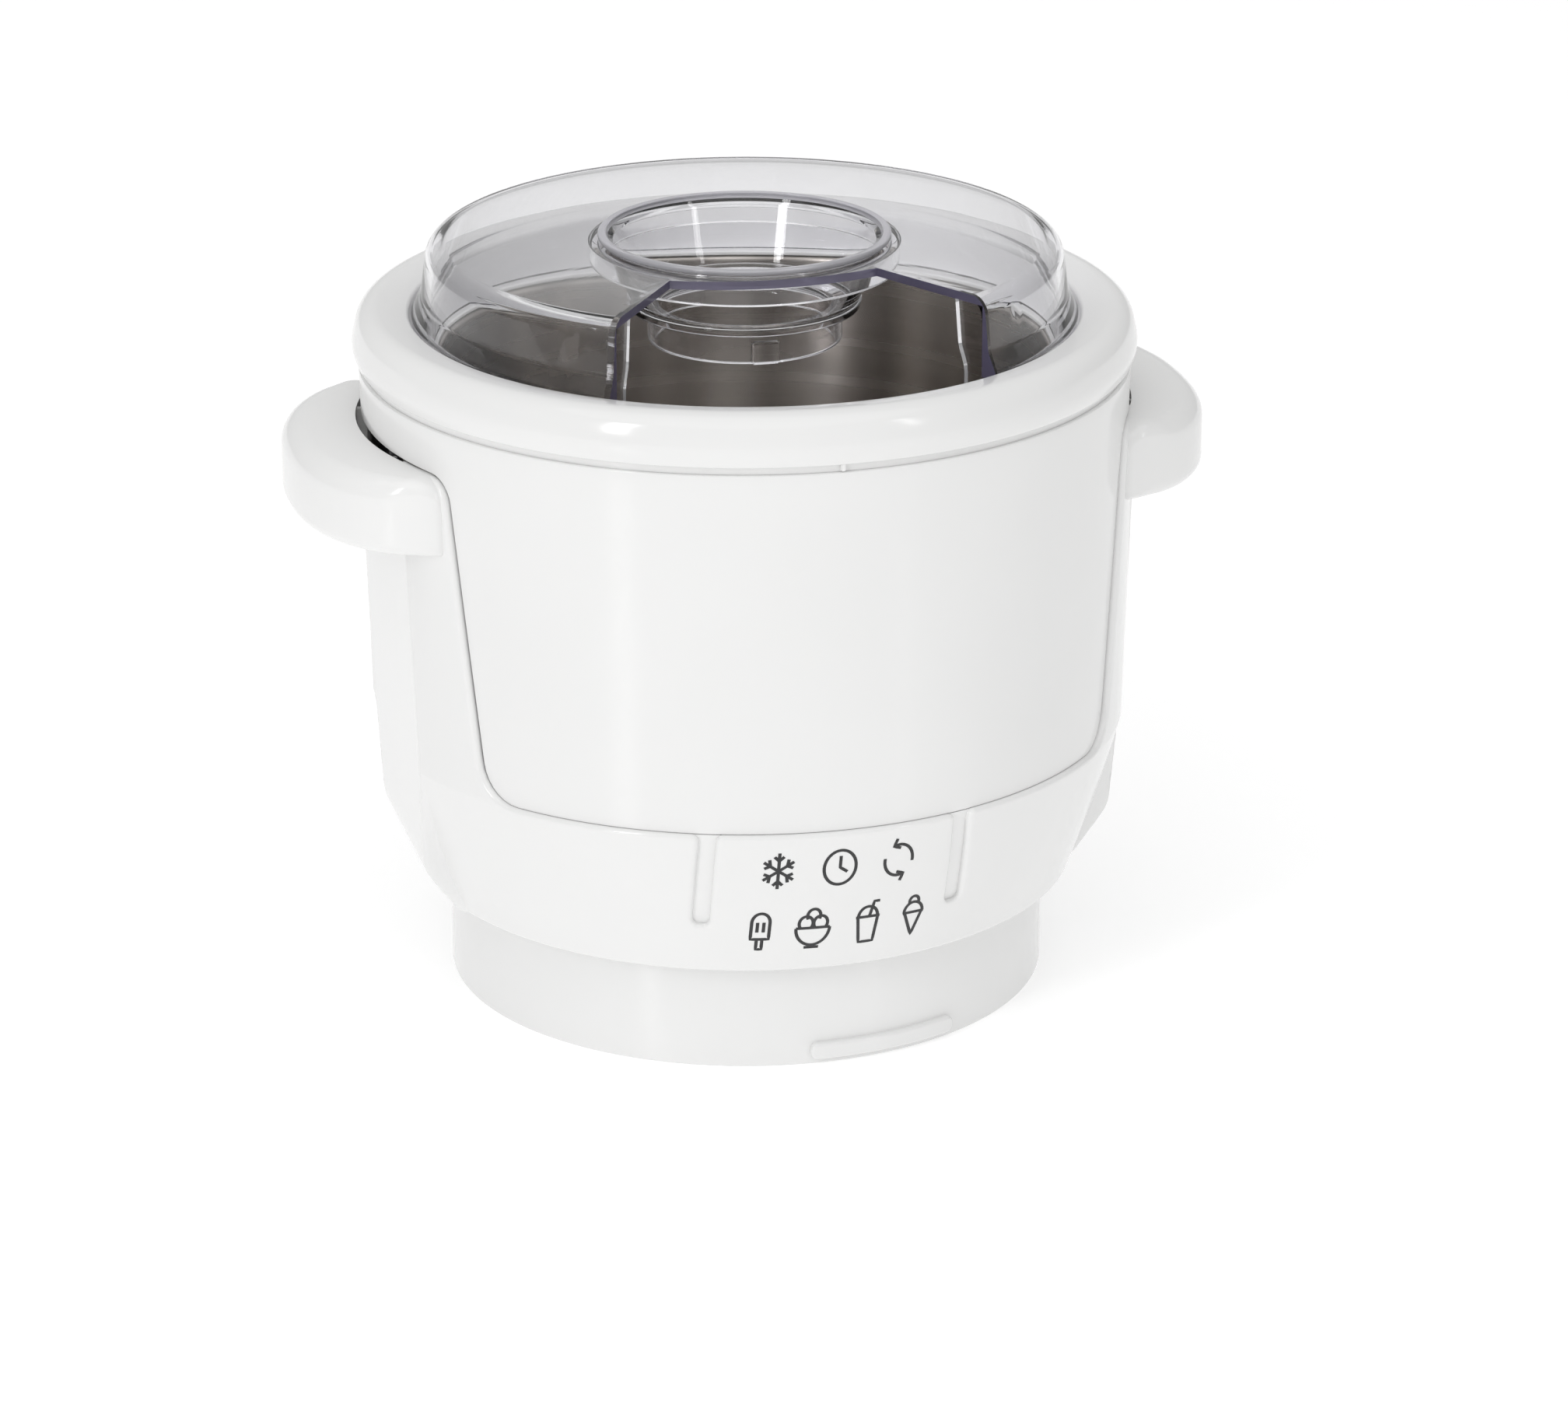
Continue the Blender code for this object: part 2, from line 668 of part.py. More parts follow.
def make_outer_wall():
    base = JACKET_BASE_Z
    wall = turned("outer_wall", [
        (0.0, base + SHEET), (JACKET_LOW_R - SHEET, base + SHEET, 3.0),
        (JACKET_TOP_R - SHEET, JACKET_RIM_Z), (JACKET_RIM_R, JACKET_RIM_Z),
        (JACKET_RIM_R, JACKET_RIM_Z - SHEET), (JACKET_TOP_R, JACKET_RIM_Z - SHEET),
        (JACKET_LOW_R, base, 4.0), (0.0, base)], STEEL, HIDDEN_ROUND)
    cut(wall, cylinder("fill_hole", (PLUG_X, 0.0), PLUG_R + 0.4, base - 2.0, base + 3.0,
                       sides=24))
    return wall


def make_coolant():
    top, bottom = BOWL_FLOOR_Z - SHEET - GAP, JACKET_BASE_Z + 3.4
    inner, outer = COOLANT_TOP_R
    turned("coolant_fill", [
        (0.0, top), (BOWL_LOW_R + SHEET + GAP, top, 11.3), (inner, COOLANT_TOP_Z),
        (outer, COOLANT_TOP_Z), (JACKET_LOW_R - 1.5, bottom, 2.0), (0.0, bottom)],
           COOLANT, HIDDEN_ROUND)


def make_base_cover():
    turned("base_cover", [(0.0, BASE_TOP_Z), (BASE_R, BASE_TOP_Z), (BASE_R, SEAT_Z, 1.6),
                          (0.0, SEAT_Z)], WHITE, HIDDEN_ROUND)


def make_rim_gasket():
    inner, outer = GASKET_R
    low, top = JACKET_RIM_Z + GAP, BOWL_RIM_Z - SHEET - GAP
    turned("rim_gasket", [(inner, top), (outer, top), (outer, low), (inner, low)],
           RUBBER, HIDDEN_ROUND)


def make_fill_plug():
    top, shoulder, low = JACKET_BASE_Z + 2.4, JACKET_BASE_Z - GAP, BASE_TOP_Z + GAP
    turned("fill_plug", [(0.0, top), (PLUG_R, top), (PLUG_R, shoulder), (PLUG_HEAD_R, shoulder),
                         (PLUG_HEAD_R, low, 0.5), (0.0, low)], RUBBER, 24, (PLUG_X, 0.0))


def make_centre_pin():
    base = BOWL_FLOOR_Z + GAP
    flange_r, flange_t = PIN_FLANGE
    turned("centre_pin", [(0.0, PIN_TOP_Z), (PIN_R, PIN_TOP_Z, 0.8), (PIN_R, base + flange_t),
                          (flange_r, base + flange_t, 0.6), (flange_r, base), (0.0, base)],
           STEEL, PIN_ROUND)


# ---- lid group ----

def turned_with_lid(obj):
    """Turn a tool of the lid or funnel by the angle at which the lid sits."""
    transform_mesh(obj, Matrix.Rotation(math.radians(LID_TURN_DEG), 4, "Z"))
    return obj


def filling_outline():
    """Outline of the filling opening: a shallow inner arc and two straight sides."""
    steps = 4
    half = []
    for k in range(1, steps + 1):
        x = CUT_CORNER[0] * k / steps
        half.append((x, CUT_ARC_CENTRE_Y - math.sqrt(CUT_ARC_R ** 2 - x * x)))
    angle = math.radians(CUT_ANGLE_DEG)
    half.append((CUT_CORNER[0] + CUT_REACH * math.sin(angle),
                 -CUT_CORNER[1] - CUT_REACH * math.cos(angle)))
    return [(0.0, CUT_ARC_CENTRE_Y - CUT_ARC_R)] + half + [(-x, y) for x, y in reversed(half)]


def make_web(side):
    """Upright rib along one straight side of the filling opening, against the lid's wall.

    WEB_SIDE is its outline as (distance from the inner corner, height).
    """
    low, high = (-WEB_T, 0.0) if side > 0 else (0.0, WEB_T)
    web = plate("web", [WEB_SIDE], low, high)
    upright = Matrix(((0, 0, -1, 0), (-1, 0, 0, 0), (0, 1, 0, 0), (0, 0, 0, 1)))
    turn = Matrix.Rotation(side * math.radians(CUT_ANGLE_DEG), 4, "Z")
    corner = Matrix.Translation((side * CUT_CORNER[0] * MM, -CUT_CORNER[1] * MM, 0.0))
    transform_mesh(web, corner @ turn @ upright)
    return turned_with_lid(web)


def make_lid():
    """Clear cover with a wall, a collar for the funnel and a filling opening."""
    under = LID_TOP_Z - LID_T
    lid = turned("lid_cover", [
        (LID_HOLE_R, LID_TOP_Z), *LID_OUTER, (LID_OUTER_LOW_R, LID_LOW_Z),
        (LID_INNER_LOW_R, LID_LOW_Z), *LID_INNER, (HUB_R, under), (HUB_R, HUB_LOW_Z),
        (HUB_INNER_R, HUB_LOW_Z), (HUB_INNER_R, under - 0.4), (LID_HOLE_R, under - 0.4)], CLEAR)
    for side in (-1.0, 1.0):
        join(lid, make_web(side))
    opening = plate("filling_opening", [filling_outline()], CUT_LOW_Z, LID_TOP_Z + 5.0)
    cut(lid, turned_with_lid(opening))
    return lid


def make_funnel():
    """Clear funnel with a rim that rests on the lid and a throat with a lug."""
    low = THROAT_LOW_Z
    funnel = turned("funnel_insert", [
        (36.4, FUNNEL_TOP_Z, 0.6), (38.4, FUNNEL_TOP_Z, 0.7), (38.4, 201.8, 0.5), (36.5, 201.8),
        (30.0, 185.1), (30.4, 185.1), (30.4, 183.1), (25.6, 182.5), (25.6, low),
        (23.4, low), (23.4, 184.3), (28.4, 185.5), (34.4, 201.0, 2.0)], CLEAR, 56)
    lug = block("throat_lug", (-3.7, -27.0, low), (3.7, -24.4, 180.6))
    join(funnel, turned_with_lid(lug))
    return funnel


# ---- paddle group ----

def make_pivot_bush():
    """Bush that sits on the centre pin; the paddle turns on its spigot."""
    hole_r, hole_top = PIN_R + RUNNING_GAP, PIN_TOP_Z + GAP
    low, shoulder = BUSH_FLANGE_Z
    turned("pivot_bush", [(0.0, BUSH_TOP_Z), (BUSH_R, BUSH_TOP_Z), (BUSH_R, shoulder),
                          (BUSH_FLANGE_R, shoulder), (BUSH_FLANGE_R, low), (hole_r, low),
                          (hole_r, hole_top), (0.0, hole_top)], GREY, PIN_ROUND)


def make_paddle():
    """Paddle: a hub with a blind hole at each end and two windowed arms."""
    recess_low = HUB_TOP_Z - SOCKET_DEPTH - GAP
    recess_r = SOCKET_R + GAP
    hole_r, hole_top = BUSH_R + RUNNING_GAP, BUSH_TOP_Z + 2.0
    paddle = turned("paddle_frame", [
        (0.0, recess_low), (recess_r, recess_low), (recess_r, HUB_TOP_Z),
        (HUB_OUTER_R, HUB_TOP_Z), (HUB_OUTER_R, PADDLE_LOW_Z), (hole_r, PADDLE_LOW_Z),
        (hole_r, hole_top), (0.0, hole_top)], WHITE, PIN_ROUND)
    half, low = PADDLE_HALF, PADDLE_LOW_Z
    outer_top, inner_top = PADDLE_ARM_TOP_Z
    start = HUB_OUTER_R - 2.1
    outline = rounded([(start, low), (half, low, 8.0), (half, outer_top, 5.0),
                       (half - 15.5, outer_top + 1.0, 8.0), (start, inner_top)])
    window = rounded([(14.0, low + 7.5, 2.5), (half - ARM_FRAME, low + 7.5, 4.0),
                      (half - ARM_FRAME, outer_top - 7.0, 4.0), (14.0, inner_top - 9.5, 2.5)])
    for side in (-1.0, 1.0):
        arm = plate("paddle_arm", [outline, window], -PADDLE_T / 2, PADDLE_T / 2)
        transform_mesh(arm, Matrix.Rotation(math.pi / 2, 4, "X"))
        if side < 0:
            transform_mesh(arm, Matrix.Scale(-1.0, 4, (1.0, 0.0, 0.0)))
        join(paddle, arm)
    return paddle


def make_scrapers():
    """Soft scrapers clipped over the outer edges of the paddle's arms."""
    inner = PADDLE_T / 2 + GAP
    outer = inner + SCRAPER_T
    back, seat = PADDLE_HALF - SCRAPER_GRIP, PADDLE_HALF + GAP
    tip = PADDLE_HALF + SCRAPER_PROUD
    outline = [(back, -outer), (seat, -outer), (tip, -1.0), (tip, 1.0), (seat, outer),
               (back, outer), (back, inner), (seat, inner), (seat, -inner), (back, -inner)]
    for name, side in (("scraper_left", -1.0), ("scraper_right", 1.0)):
        scraper = plate(name, [outline], *SCRAPER_Z, SOFT)
        if side < 0:
            transform_mesh(scraper, Matrix.Scale(-1.0, 4, (1.0, 0.0, 0.0)))


def make_drive_socket():
    """Socket in the top of the hub that takes the mixer's hexagonal shaft."""
    seat = HUB_TOP_Z + GAP
    low, top = seat - SOCKET_DEPTH, seat + 2.0
    socket = turned("drive_socket", [
        (0.0, top), (HUB_OUTER_R, top, 0.8), (HUB_OUTER_R, seat), (SOCKET_R, seat),
        (SOCKET_R, low), (0.0, low)], GREY, PIN_ROUND)
    hexagon = [(HEX_R * math.cos(math.radians(60 * k)), HEX_R * math.sin(math.radians(60 * k)))
               for k in range(6)]
    cut(socket, plate("hex_hole", [hexagon], seat - HEX_DEPTH, top + 3.0))
    return socket


clear_scene()
PARTS = new_collection(NAME)
CUTTERS = new_collection(NAME + "_cutters")
WHITE = material("white_plastic", (0.86, 0.86, 0.85), 0.18)
STEEL = material("brushed_steel", (0.52, 0.51, 0.49), 0.32, metallic=1.0)
CLEAR = material("clear_plastic", (0.96, 0.96, 0.98), 0.04, transmission=1.0)
RUBBER = material("grey_rubber", (0.30, 0.30, 0.31), 0.65)
GREY = material("grey_plastic", (0.42, 0.43, 0.45), 0.40)
SOFT = material("soft_white", (0.80, 0.80, 0.80), 0.50)
COOLANT = material("blue_coolant", (0.35, 0.55, 0.70), 0.30)

make_outer_holder()
make_foot_ring()
make_foot_screws()
make_seat_ring()
make_rim_ring()
make_upper_shell()
make_inner_bowl()
make_outer_wall()
make_coolant()
make_base_cover()
make_rim_gasket()
make_fill_plug()
make_centre_pin()
make_lid()
make_funnel()
make_pivot_bush()
make_paddle()
make_scrapers()
make_drive_socket()
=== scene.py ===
"""Looks of the ice cream maker bowl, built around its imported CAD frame.

The white mouldings, the clear lid and funnel and the steel bowl are rebuilt here with
fine curvature and rounded edges. Pieces that stay inside keep their CAD shape.
Lengths are in millimetres and are scaled by MM. The front faces -Y.
"""
import math

import bmesh
import bpy
from mathutils import Matrix, Vector


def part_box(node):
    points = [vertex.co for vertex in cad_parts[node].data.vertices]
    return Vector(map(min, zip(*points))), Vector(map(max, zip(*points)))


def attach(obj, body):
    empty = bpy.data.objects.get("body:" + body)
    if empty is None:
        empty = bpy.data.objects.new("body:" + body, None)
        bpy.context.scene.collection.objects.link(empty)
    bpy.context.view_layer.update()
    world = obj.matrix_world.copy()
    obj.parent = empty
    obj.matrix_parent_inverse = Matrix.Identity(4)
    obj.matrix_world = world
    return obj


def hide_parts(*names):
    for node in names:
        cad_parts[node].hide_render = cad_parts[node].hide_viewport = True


MM = 0.001
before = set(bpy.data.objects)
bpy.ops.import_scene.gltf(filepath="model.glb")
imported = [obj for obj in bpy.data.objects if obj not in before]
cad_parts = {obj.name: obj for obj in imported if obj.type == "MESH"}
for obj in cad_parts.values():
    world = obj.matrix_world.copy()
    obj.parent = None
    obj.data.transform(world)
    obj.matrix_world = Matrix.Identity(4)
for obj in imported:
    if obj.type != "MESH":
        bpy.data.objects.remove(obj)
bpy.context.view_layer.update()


def top_of(node):
    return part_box(node)[1].z / MM


def bottom_of(node):
    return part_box(node)[0].z / MM


# Driving sizes, taken from the frame where it gives them
FOOT_H = top_of("foot_ring")
FOOT_R = 80.0
HOLDER_TOP = 156.6
HOLDER_LOW = bottom_of("outer_holder")
LID_TOP = top_of("lid_cover")
FUNNEL_TOP = top_of("funnel_insert")
HANDLE_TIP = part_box("outer_holder")[1].x / MM

# Holder
LIP_Z = 72.7
LIP_R = 101.0
ARM_R = 102.7
BAND_LOW = (88.2, 32.4)
BAND_BULGE = 0.6
WALL = 3.2
EDGE = 1.3
DEV_R = 101.0
HALF_TURN = math.pi * DEV_R
SPARE = 6.0
SEAM_LOW = 98.6
SEAM_TOP = 110.0
SEAM_LOW_ROUND = 12.0
SEAM_TOP_ROUND = 7.0

# Flats under the handles
FLAT_TOP = (97.9, 138.0)
FLAT_LOW = (94.2, 42.8)
FLAT_FOOT = (86.0, 32.2)
FLAT_HALF = (28.0, 32.0)
FLAT_NARROWS = (33.0, 80.0)
FLAT_BLEND = 1.3
FLAT_SOFT = 1.1
FLAT_REACH = 0.6
FLAT_FADES = (144.0, 150.0)
FLAT_EDGES = (26.5, 36.5)

# Slots beside the label
SLOT_X = 33.6
SLOT_HALF = 2.1
SLOT_LOW_Z = 45.0
SLOT_DEPTH = 1.7
SLOT_END_ROUND = SLOT_HALF * 0.9
SLOT_MOUTH_ROUND = 1.8
SLOT_FLOOR_T = 0.8
SLOT_FLOOR_OVER = 1.5

# Handles
GRIP_TOP = 156.7
GRIP_LOW = 136.4
GRIP_BASE = 87.0
GRIP_HALF = 47.4
GRIP_POWER = 2.3
GRIP_ROUND = 6.4
GRIP_LOW_ROUND = 3.6
GRIP_SKIN = 3.2
GRIP_INNER = 0.93
GRIP_OPEN = (33.0, 39.0)
GRIP_LOW_STOP = 1.1
GRIP_STEPS = 72
GRIP_SEAT_R = 100.4
HOLLOW_R = 105.6
GAP_R = 76.0
GAP_OFFSET = 27.1
GAP_HALF = 28.5
GAP_FLOOR = 141.0
RIB_SIZE = (4.6, 0.9, 15.0)
RIB_R = 99.6
RIB_ASIDE = 22.0
RIB_DROP = 8.3
RIB_TURN = 0.22

# Lugs of the foot
LUG_SPAN = 30.0
LUG_LOW = 1.6
LUG_HIGH = 6.2
LUG_ROUND = 2.0
LUG_PROUD = 1.8
LUG_SUNK = 1.2

# Container
SHELL_TOP = (101.5, 169.0)
SHELL_LOW = (99.3, 73.5)
SHELL_T = 2.4
SHELL_EDGE = 0.3
LIP_LINE = 0.05
SEAM_LINE = 0.5
MARK_SIZE = (1.3, 2.6, 2.2)
MARK_PLACE = (0.0, -100.4, 170.4)

# Lid
LID_TURN = math.radians(-2.0)
LID_T = 2.2
LID_LOW = 171.9
HUB_R = 40.5
HUB_LOW = 194.2
CUT_CORNER = (27.1, 36.0)
CUT_ARC_R = 72.5
CUT_ARC_Y = 31.3
CUT_ANGLE = math.radians(32.0)
CUT_LOW = 180.6
WALL_REACH = 37.6
WEB_T = 2.4
THROAT_LOW = 174.4
FLANGE_IN = 36.0
FLANGE_LOW = 201.6
THROAT_LUG_SIZE = (7.4, 2.6, 6.0)
THROAT_LUG_R = 25.7
THROAT_LUG_LIFT = 3.2

# Studio light
HORIZON_LIGHT = 0.60
ZENITH_LIGHT = 0.72
SIDE_SHADE = 0.45
FLOOR_GLOW = 0.28
FLOOR_R = 6000.0

# Camera, in metres
CAMERA_LENS = 133.93
CAMERA_PLACE = Vector((-0.3532, -1.4273, 0.6218))
CAMERA_AIM = Vector((0.0100, -0.0025, 0.0697))

# Fineness
TURN_STEPS = 240
QUARTER_STEPS = 8
EDGE_STEPS = 3


# ---- mesh helpers ----

def rounded(points, quarter=QUARTER_STEPS):
    """Replace each (x, y, radius) corner of an outline by an arc."""
    result = []
    count = len(points)
    for i, point in enumerate(points):
        if len(point) == 2:
            result.append(point)
            continue
        x, y, radius = point
        before, after = points[i - 1], points[(i + 1) % count]
        a = math.atan2(before[1] - y, before[0] - x)
        b = math.atan2(after[1] - y, after[0] - x)
        turn = (b - a + math.pi) % (2 * math.pi) - math.pi
        reach = radius / abs(math.tan(turn / 2))
        away = radius / abs(math.sin(turn / 2))
        cx = x + away * math.cos(a + turn / 2)
        cy = y + away * math.sin(a + turn / 2)
        start = math.atan2(y + reach * math.sin(a) - cy, x + reach * math.cos(a) - cx)
        end = math.atan2(y + reach * math.sin(b) - cy, x + reach * math.cos(b) - cx)
        sweep = (end - start + math.pi) % (2 * math.pi) - math.pi
        steps = max(2, round(abs(sweep) / (math.pi / 2) * quarter))
        for k in range(steps + 1):
            angle = start + sweep * k / steps
            result.append((cx + radius * math.cos(angle), cy + radius * math.sin(angle)))
    return result


def mix(a, b, t):
    return a + (b - a) * t


def smooth_step(low, high, value):
    """0 below low, 1 above high, with a soft change between."""
    t = min(1.0, max(0.0, (value - low) / (high - low)))
    return t * t * (3 - 2 * t)


def add_object(name, bm, sharp_deg=35.0):
    """Write a bmesh in millimetres to a new smooth-shaded object."""
    bmesh.ops.scale(bm, vec=(MM, MM, MM), verts=bm.verts)
    bmesh.ops.recalc_face_normals(bm, faces=bm.faces)
    mesh = bpy.data.meshes.new(name)
    bm.to_mesh(mesh)
    bm.free()
    return link_mesh(name, mesh, sharp_deg)


def link_mesh(name, mesh, sharp_deg=35.0):
    """Put a mesh in the scene with soft shading and sharp corners kept."""
    mesh.polygons.foreach_set("use_smooth", [True] * len(mesh.polygons))
    mesh.set_sharp_from_angle(angle=math.radians(sharp_deg))
    obj = bpy.data.objects.new(name, mesh)
    bpy.context.scene.collection.objects.link(obj)
    return obj


def turned(name, points, steps=TURN_STEPS):
    """Turn a profile of (radius, height, corner radius) about the vertical."""
    profile = rounded(points)
    on_axis = profile[0][0] == 0.0
    bm = bmesh.new()
    verts = [bm.verts.new((r, 0.0, z)) for r, z in profile]
    last = len(verts) - 1 if on_axis else len(verts)
    edges = [bm.edges.new((verts[i], verts[(i + 1) % len(verts)])) for i in range(last)]
    bmesh.ops.spin(bm, geom=verts + edges, cent=(0, 0, 0), axis=(0, 0, 1),
                   angle=2 * math.pi, steps=steps, use_merge=True)
    bmesh.ops.remove_doubles(bm, verts=bm.verts, dist=0.001)
    return add_object(name, bm)


def curve_mesh(curve):
    """Turn a curve into a bmesh."""
    guide = bpy.data.objects.new(curve.name, curve)
    bpy.context.scene.collection.objects.link(guide)
    evaluated = guide.evaluated_get(bpy.context.evaluated_depsgraph_get())
    mesh = bpy.data.meshes.new_from_object(evaluated)
    bpy.data.objects.remove(guide, do_unlink=True)
    bm = bmesh.new()
    bm.from_mesh(mesh)
    bpy.data.meshes.remove(mesh)
    return bm


def box_mesh(size, edge, segments=2):
    """Box about the origin with rounded edges."""
    bm = bmesh.new()
    bmesh.ops.create_cube(bm, size=1.0)
    bmesh.ops.scale(bm, vec=size, verts=bm.verts)
    bmesh.ops.bevel(bm, geom=bm.edges[:], offset=edge, segments=segments, affect="EDGES")
    return bm


def plate_mesh(outline, low, high, edge=0.0):
    """Flat plate between two heights; its rim is rounded by edge."""
    curve = bpy.data.curves.new("plate", "CURVE")
    curve.dimensions = "2D"
    curve.fill_mode = "BOTH"
    curve.extrude = (high - low) / 2 - edge
    curve.bevel_depth = edge
    curve.offset = -edge
    curve.bevel_resolution = EDGE_STEPS
    spline = curve.splines.new("POLY")
    spline.points.add(len(outline) - 1)
    spline.use_cyclic_u = True
    for point, (x, y) in zip(spline.points, outline):
        point.co = (x, y, 0.0, 1.0)
    bm = curve_mesh(curve)
    bmesh.ops.remove_doubles(bm, verts=bm.verts, dist=0.002)
    bmesh.ops.translate(bm, vec=(0.0, 0.0, (low + high) / 2), verts=bm.verts)
    return bm


def plane_across(axis, place):
    """Point and normal of a plane across an axis."""
    point, normal = [0.0, 0.0, 0.0], [0.0, 0.0, 0.0]
    point[axis] = place
    normal[axis] = 1.0
    return point, normal


def slice_mesh(bm, axis, places):
    """Cut a mesh by planes across an axis so that it can bend."""
    for place in places:
        point, normal = plane_across(axis, place)
        geom = bm.verts[:] + bm.edges[:] + bm.faces[:]
        bmesh.ops.bisect_plane(bm, geom=geom, dist=0.0005, plane_co=point, plane_no=normal)


def trim_mesh(bm, axis, place, keep_below):
    """Remove the part of a mesh on one side of a plane across an axis."""
    point, normal = plane_across(axis, place)
    geom = bm.verts[:] + bm.edges[:] + bm.faces[:]
    bmesh.ops.bisect_plane(bm, geom=geom, dist=0.0005, plane_co=point, plane_no=normal,
                           clear_outer=keep_below, clear_inner=not keep_below)


def spaced(low, high, step):
    """Evenly spaced values from low to high."""
    count = max(1, round((high - low) / step))
    return [low + (high - low) * k / count for k in range(count + 1)]


def combined(obj, tools, operation):
    """Apply Booleans with closed tools and return the object with its final mesh."""
    for tool in tools:
        modifier = obj.modifiers.new(tool.name, "BOOLEAN")
        modifier.operation = operation
        modifier.solver = "EXACT"
        modifier.object = tool
    evaluated = obj.evaluated_get(bpy.context.evaluated_depsgraph_get())
    mesh = bpy.data.meshes.new_from_object(evaluated)
    name = obj.name
    bpy.data.objects.remove(obj, do_unlink=True)
    for tool in tools:
        bpy.data.objects.remove(tool, do_unlink=True)
    return link_mesh(name, mesh, 28.0)


# ---- surfaces of the holder ----

def wall_radius(z):
    """Outer radius of the holder's plain wall at a height."""
    if z >= LIP_Z:
        return mix(LIP_R, ARM_R, (z - LIP_Z) / (HOLDER_TOP - LIP_Z))
    t = (LIP_Z - z) / (LIP_Z - BAND_LOW[1])
    return mix(LIP_R, BAND_LOW[0], t) + BAND_BULGE * math.sin(math.pi * min(t, 1.0))


def flat_distance(z):
    """Distance from the axis to the flat under a handle, with its curved lower end."""
    upper = mix(FLAT_LOW[0], FLAT_TOP[0], (z - FLAT_LOW[1]) / (FLAT_TOP[1] - FLAT_LOW[1]))
    lower = mix(FLAT_FOOT[0], FLAT_LOW[0], (z - FLAT_FOOT[1]) / (FLAT_LOW[1] - FLAT_FOOT[1]))
    low = min(upper, lower)
    return low - FLAT_SOFT * math.log(1 + math.exp(-abs(upper - lower) / FLAT_SOFT))


def holder_radius(angle, z):
    """Outer radius of the holder, with the flats, at an angle from the front."""
    plain = wall_radius(z)
    aside = abs(abs(angle) - math.pi / 2)
    if aside > FLAT_REACH:
        return plain
    distance = flat_distance(z)
    along = distance * math.tan(aside)
    half = mix(*FLAT_HALF, smooth_step(*FLAT_NARROWS, z))
    share = 1.0 - smooth_step(half - FLAT_BLEND, half + FLAT_BLEND, along)
    share *= 1.0 - smooth_step(*FLAT_FADES, z)
    return mix(plain, distance / math.cos(aside), share)


def on_slot(x, z):
    """Place of a slot point in the unrolled wall."""
    return DEV_R * math.asin(x / wall_radius(z)), z


def unrolled_outline():
    """Outline of the holder's wall, unrolled: (arc from the front, height, corner radius)."""
    inner, outer = SLOT_X - SLOT_HALF, SLOT_X + SLOT_HALF
    gap_reach = DEV_R * math.asin(GAP_HALF / DEV_R)
    middle = HALF_TURN / 2
    half = [
        (*on_slot(inner, LIP_Z), SLOT_MOUTH_ROUND),
        (*on_slot(inner, SLOT_LOW_Z), SLOT_END_ROUND),
        (*on_slot(outer, SLOT_LOW_Z), SLOT_END_ROUND),
        (*on_slot(outer, LIP_Z), SLOT_MOUTH_ROUND),
        (SEAM_LOW, LIP_Z, SEAM_LOW_ROUND), (SEAM_TOP, HOLDER_TOP, SEAM_TOP_ROUND),
        (middle - gap_reach, HOLDER_TOP), (middle - gap_reach, GAP_FLOOR),
        (middle + gap_reach, GAP_FLOOR), (middle + gap_reach, HOLDER_TOP),
        (HALF_TURN - SEAM_TOP, HOLDER_TOP, SEAM_TOP_ROUND),
        (HALF_TURN - SEAM_LOW, LIP_Z, SEAM_LOW_ROUND), (HALF_TURN + SPARE, LIP_Z)]
    left = [(-point[0], *point[1:]) for point in reversed(half)]
    low = HOLDER_LOW + 0.2
    return rounded(left + half + [(HALF_TURN + SPARE, low), (-HALF_TURN - SPARE, low)])


def bend(bm, radius_at, thickness):
    """Wrap a plate (arc, height, depth) round the axis; depth 0 is the outer face."""
    for vert in bm.verts:
        arc, z, depth = vert.co
        angle = arc / DEV_R
        outer = radius_at(angle, z)
        share = -depth / thickness
        inner = min(wall_radius(z) - thickness, outer - 2.0) if z < HOLDER_TOP + 1 else outer
        radius = mix(outer, inner, share)
        vert.co = (radius * math.sin(angle), -radius * math.cos(angle), z)


def make_holder_wall():
    """Holder's wall with its arms, label tab and flats, bent from one flat plate."""
    bm = plate_mesh(unrolled_outline(), -WALL, 0.0, EDGE)
    places = spaced(-HALF_TURN + 3, HALF_TURN - 3, 3.0)
    for middle in (-HALF_TURN / 2, HALF_TURN / 2):
        for side in (-1.0, 1.0):
            edges = sorted(middle + side * reach for reach in FLAT_EDGES)
            places += spaced(*edges, 0.7)
    slice_mesh(bm, 0, sorted(places))
    slice_mesh(bm, 1, spaced(HOLDER_LOW + 2.0, 48.0, 1.2) + spaced(50.0, HOLDER_TOP - 3, 3.5))
    trim_mesh(bm, 0, HALF_TURN, True)
    trim_mesh(bm, 0, -HALF_TURN, False)
    bend(bm, holder_radius, WALL)
    bmesh.ops.remove_doubles(bm, verts=bm.verts, dist=0.01)
    return add_object("holder_wall", bm, 50.0)


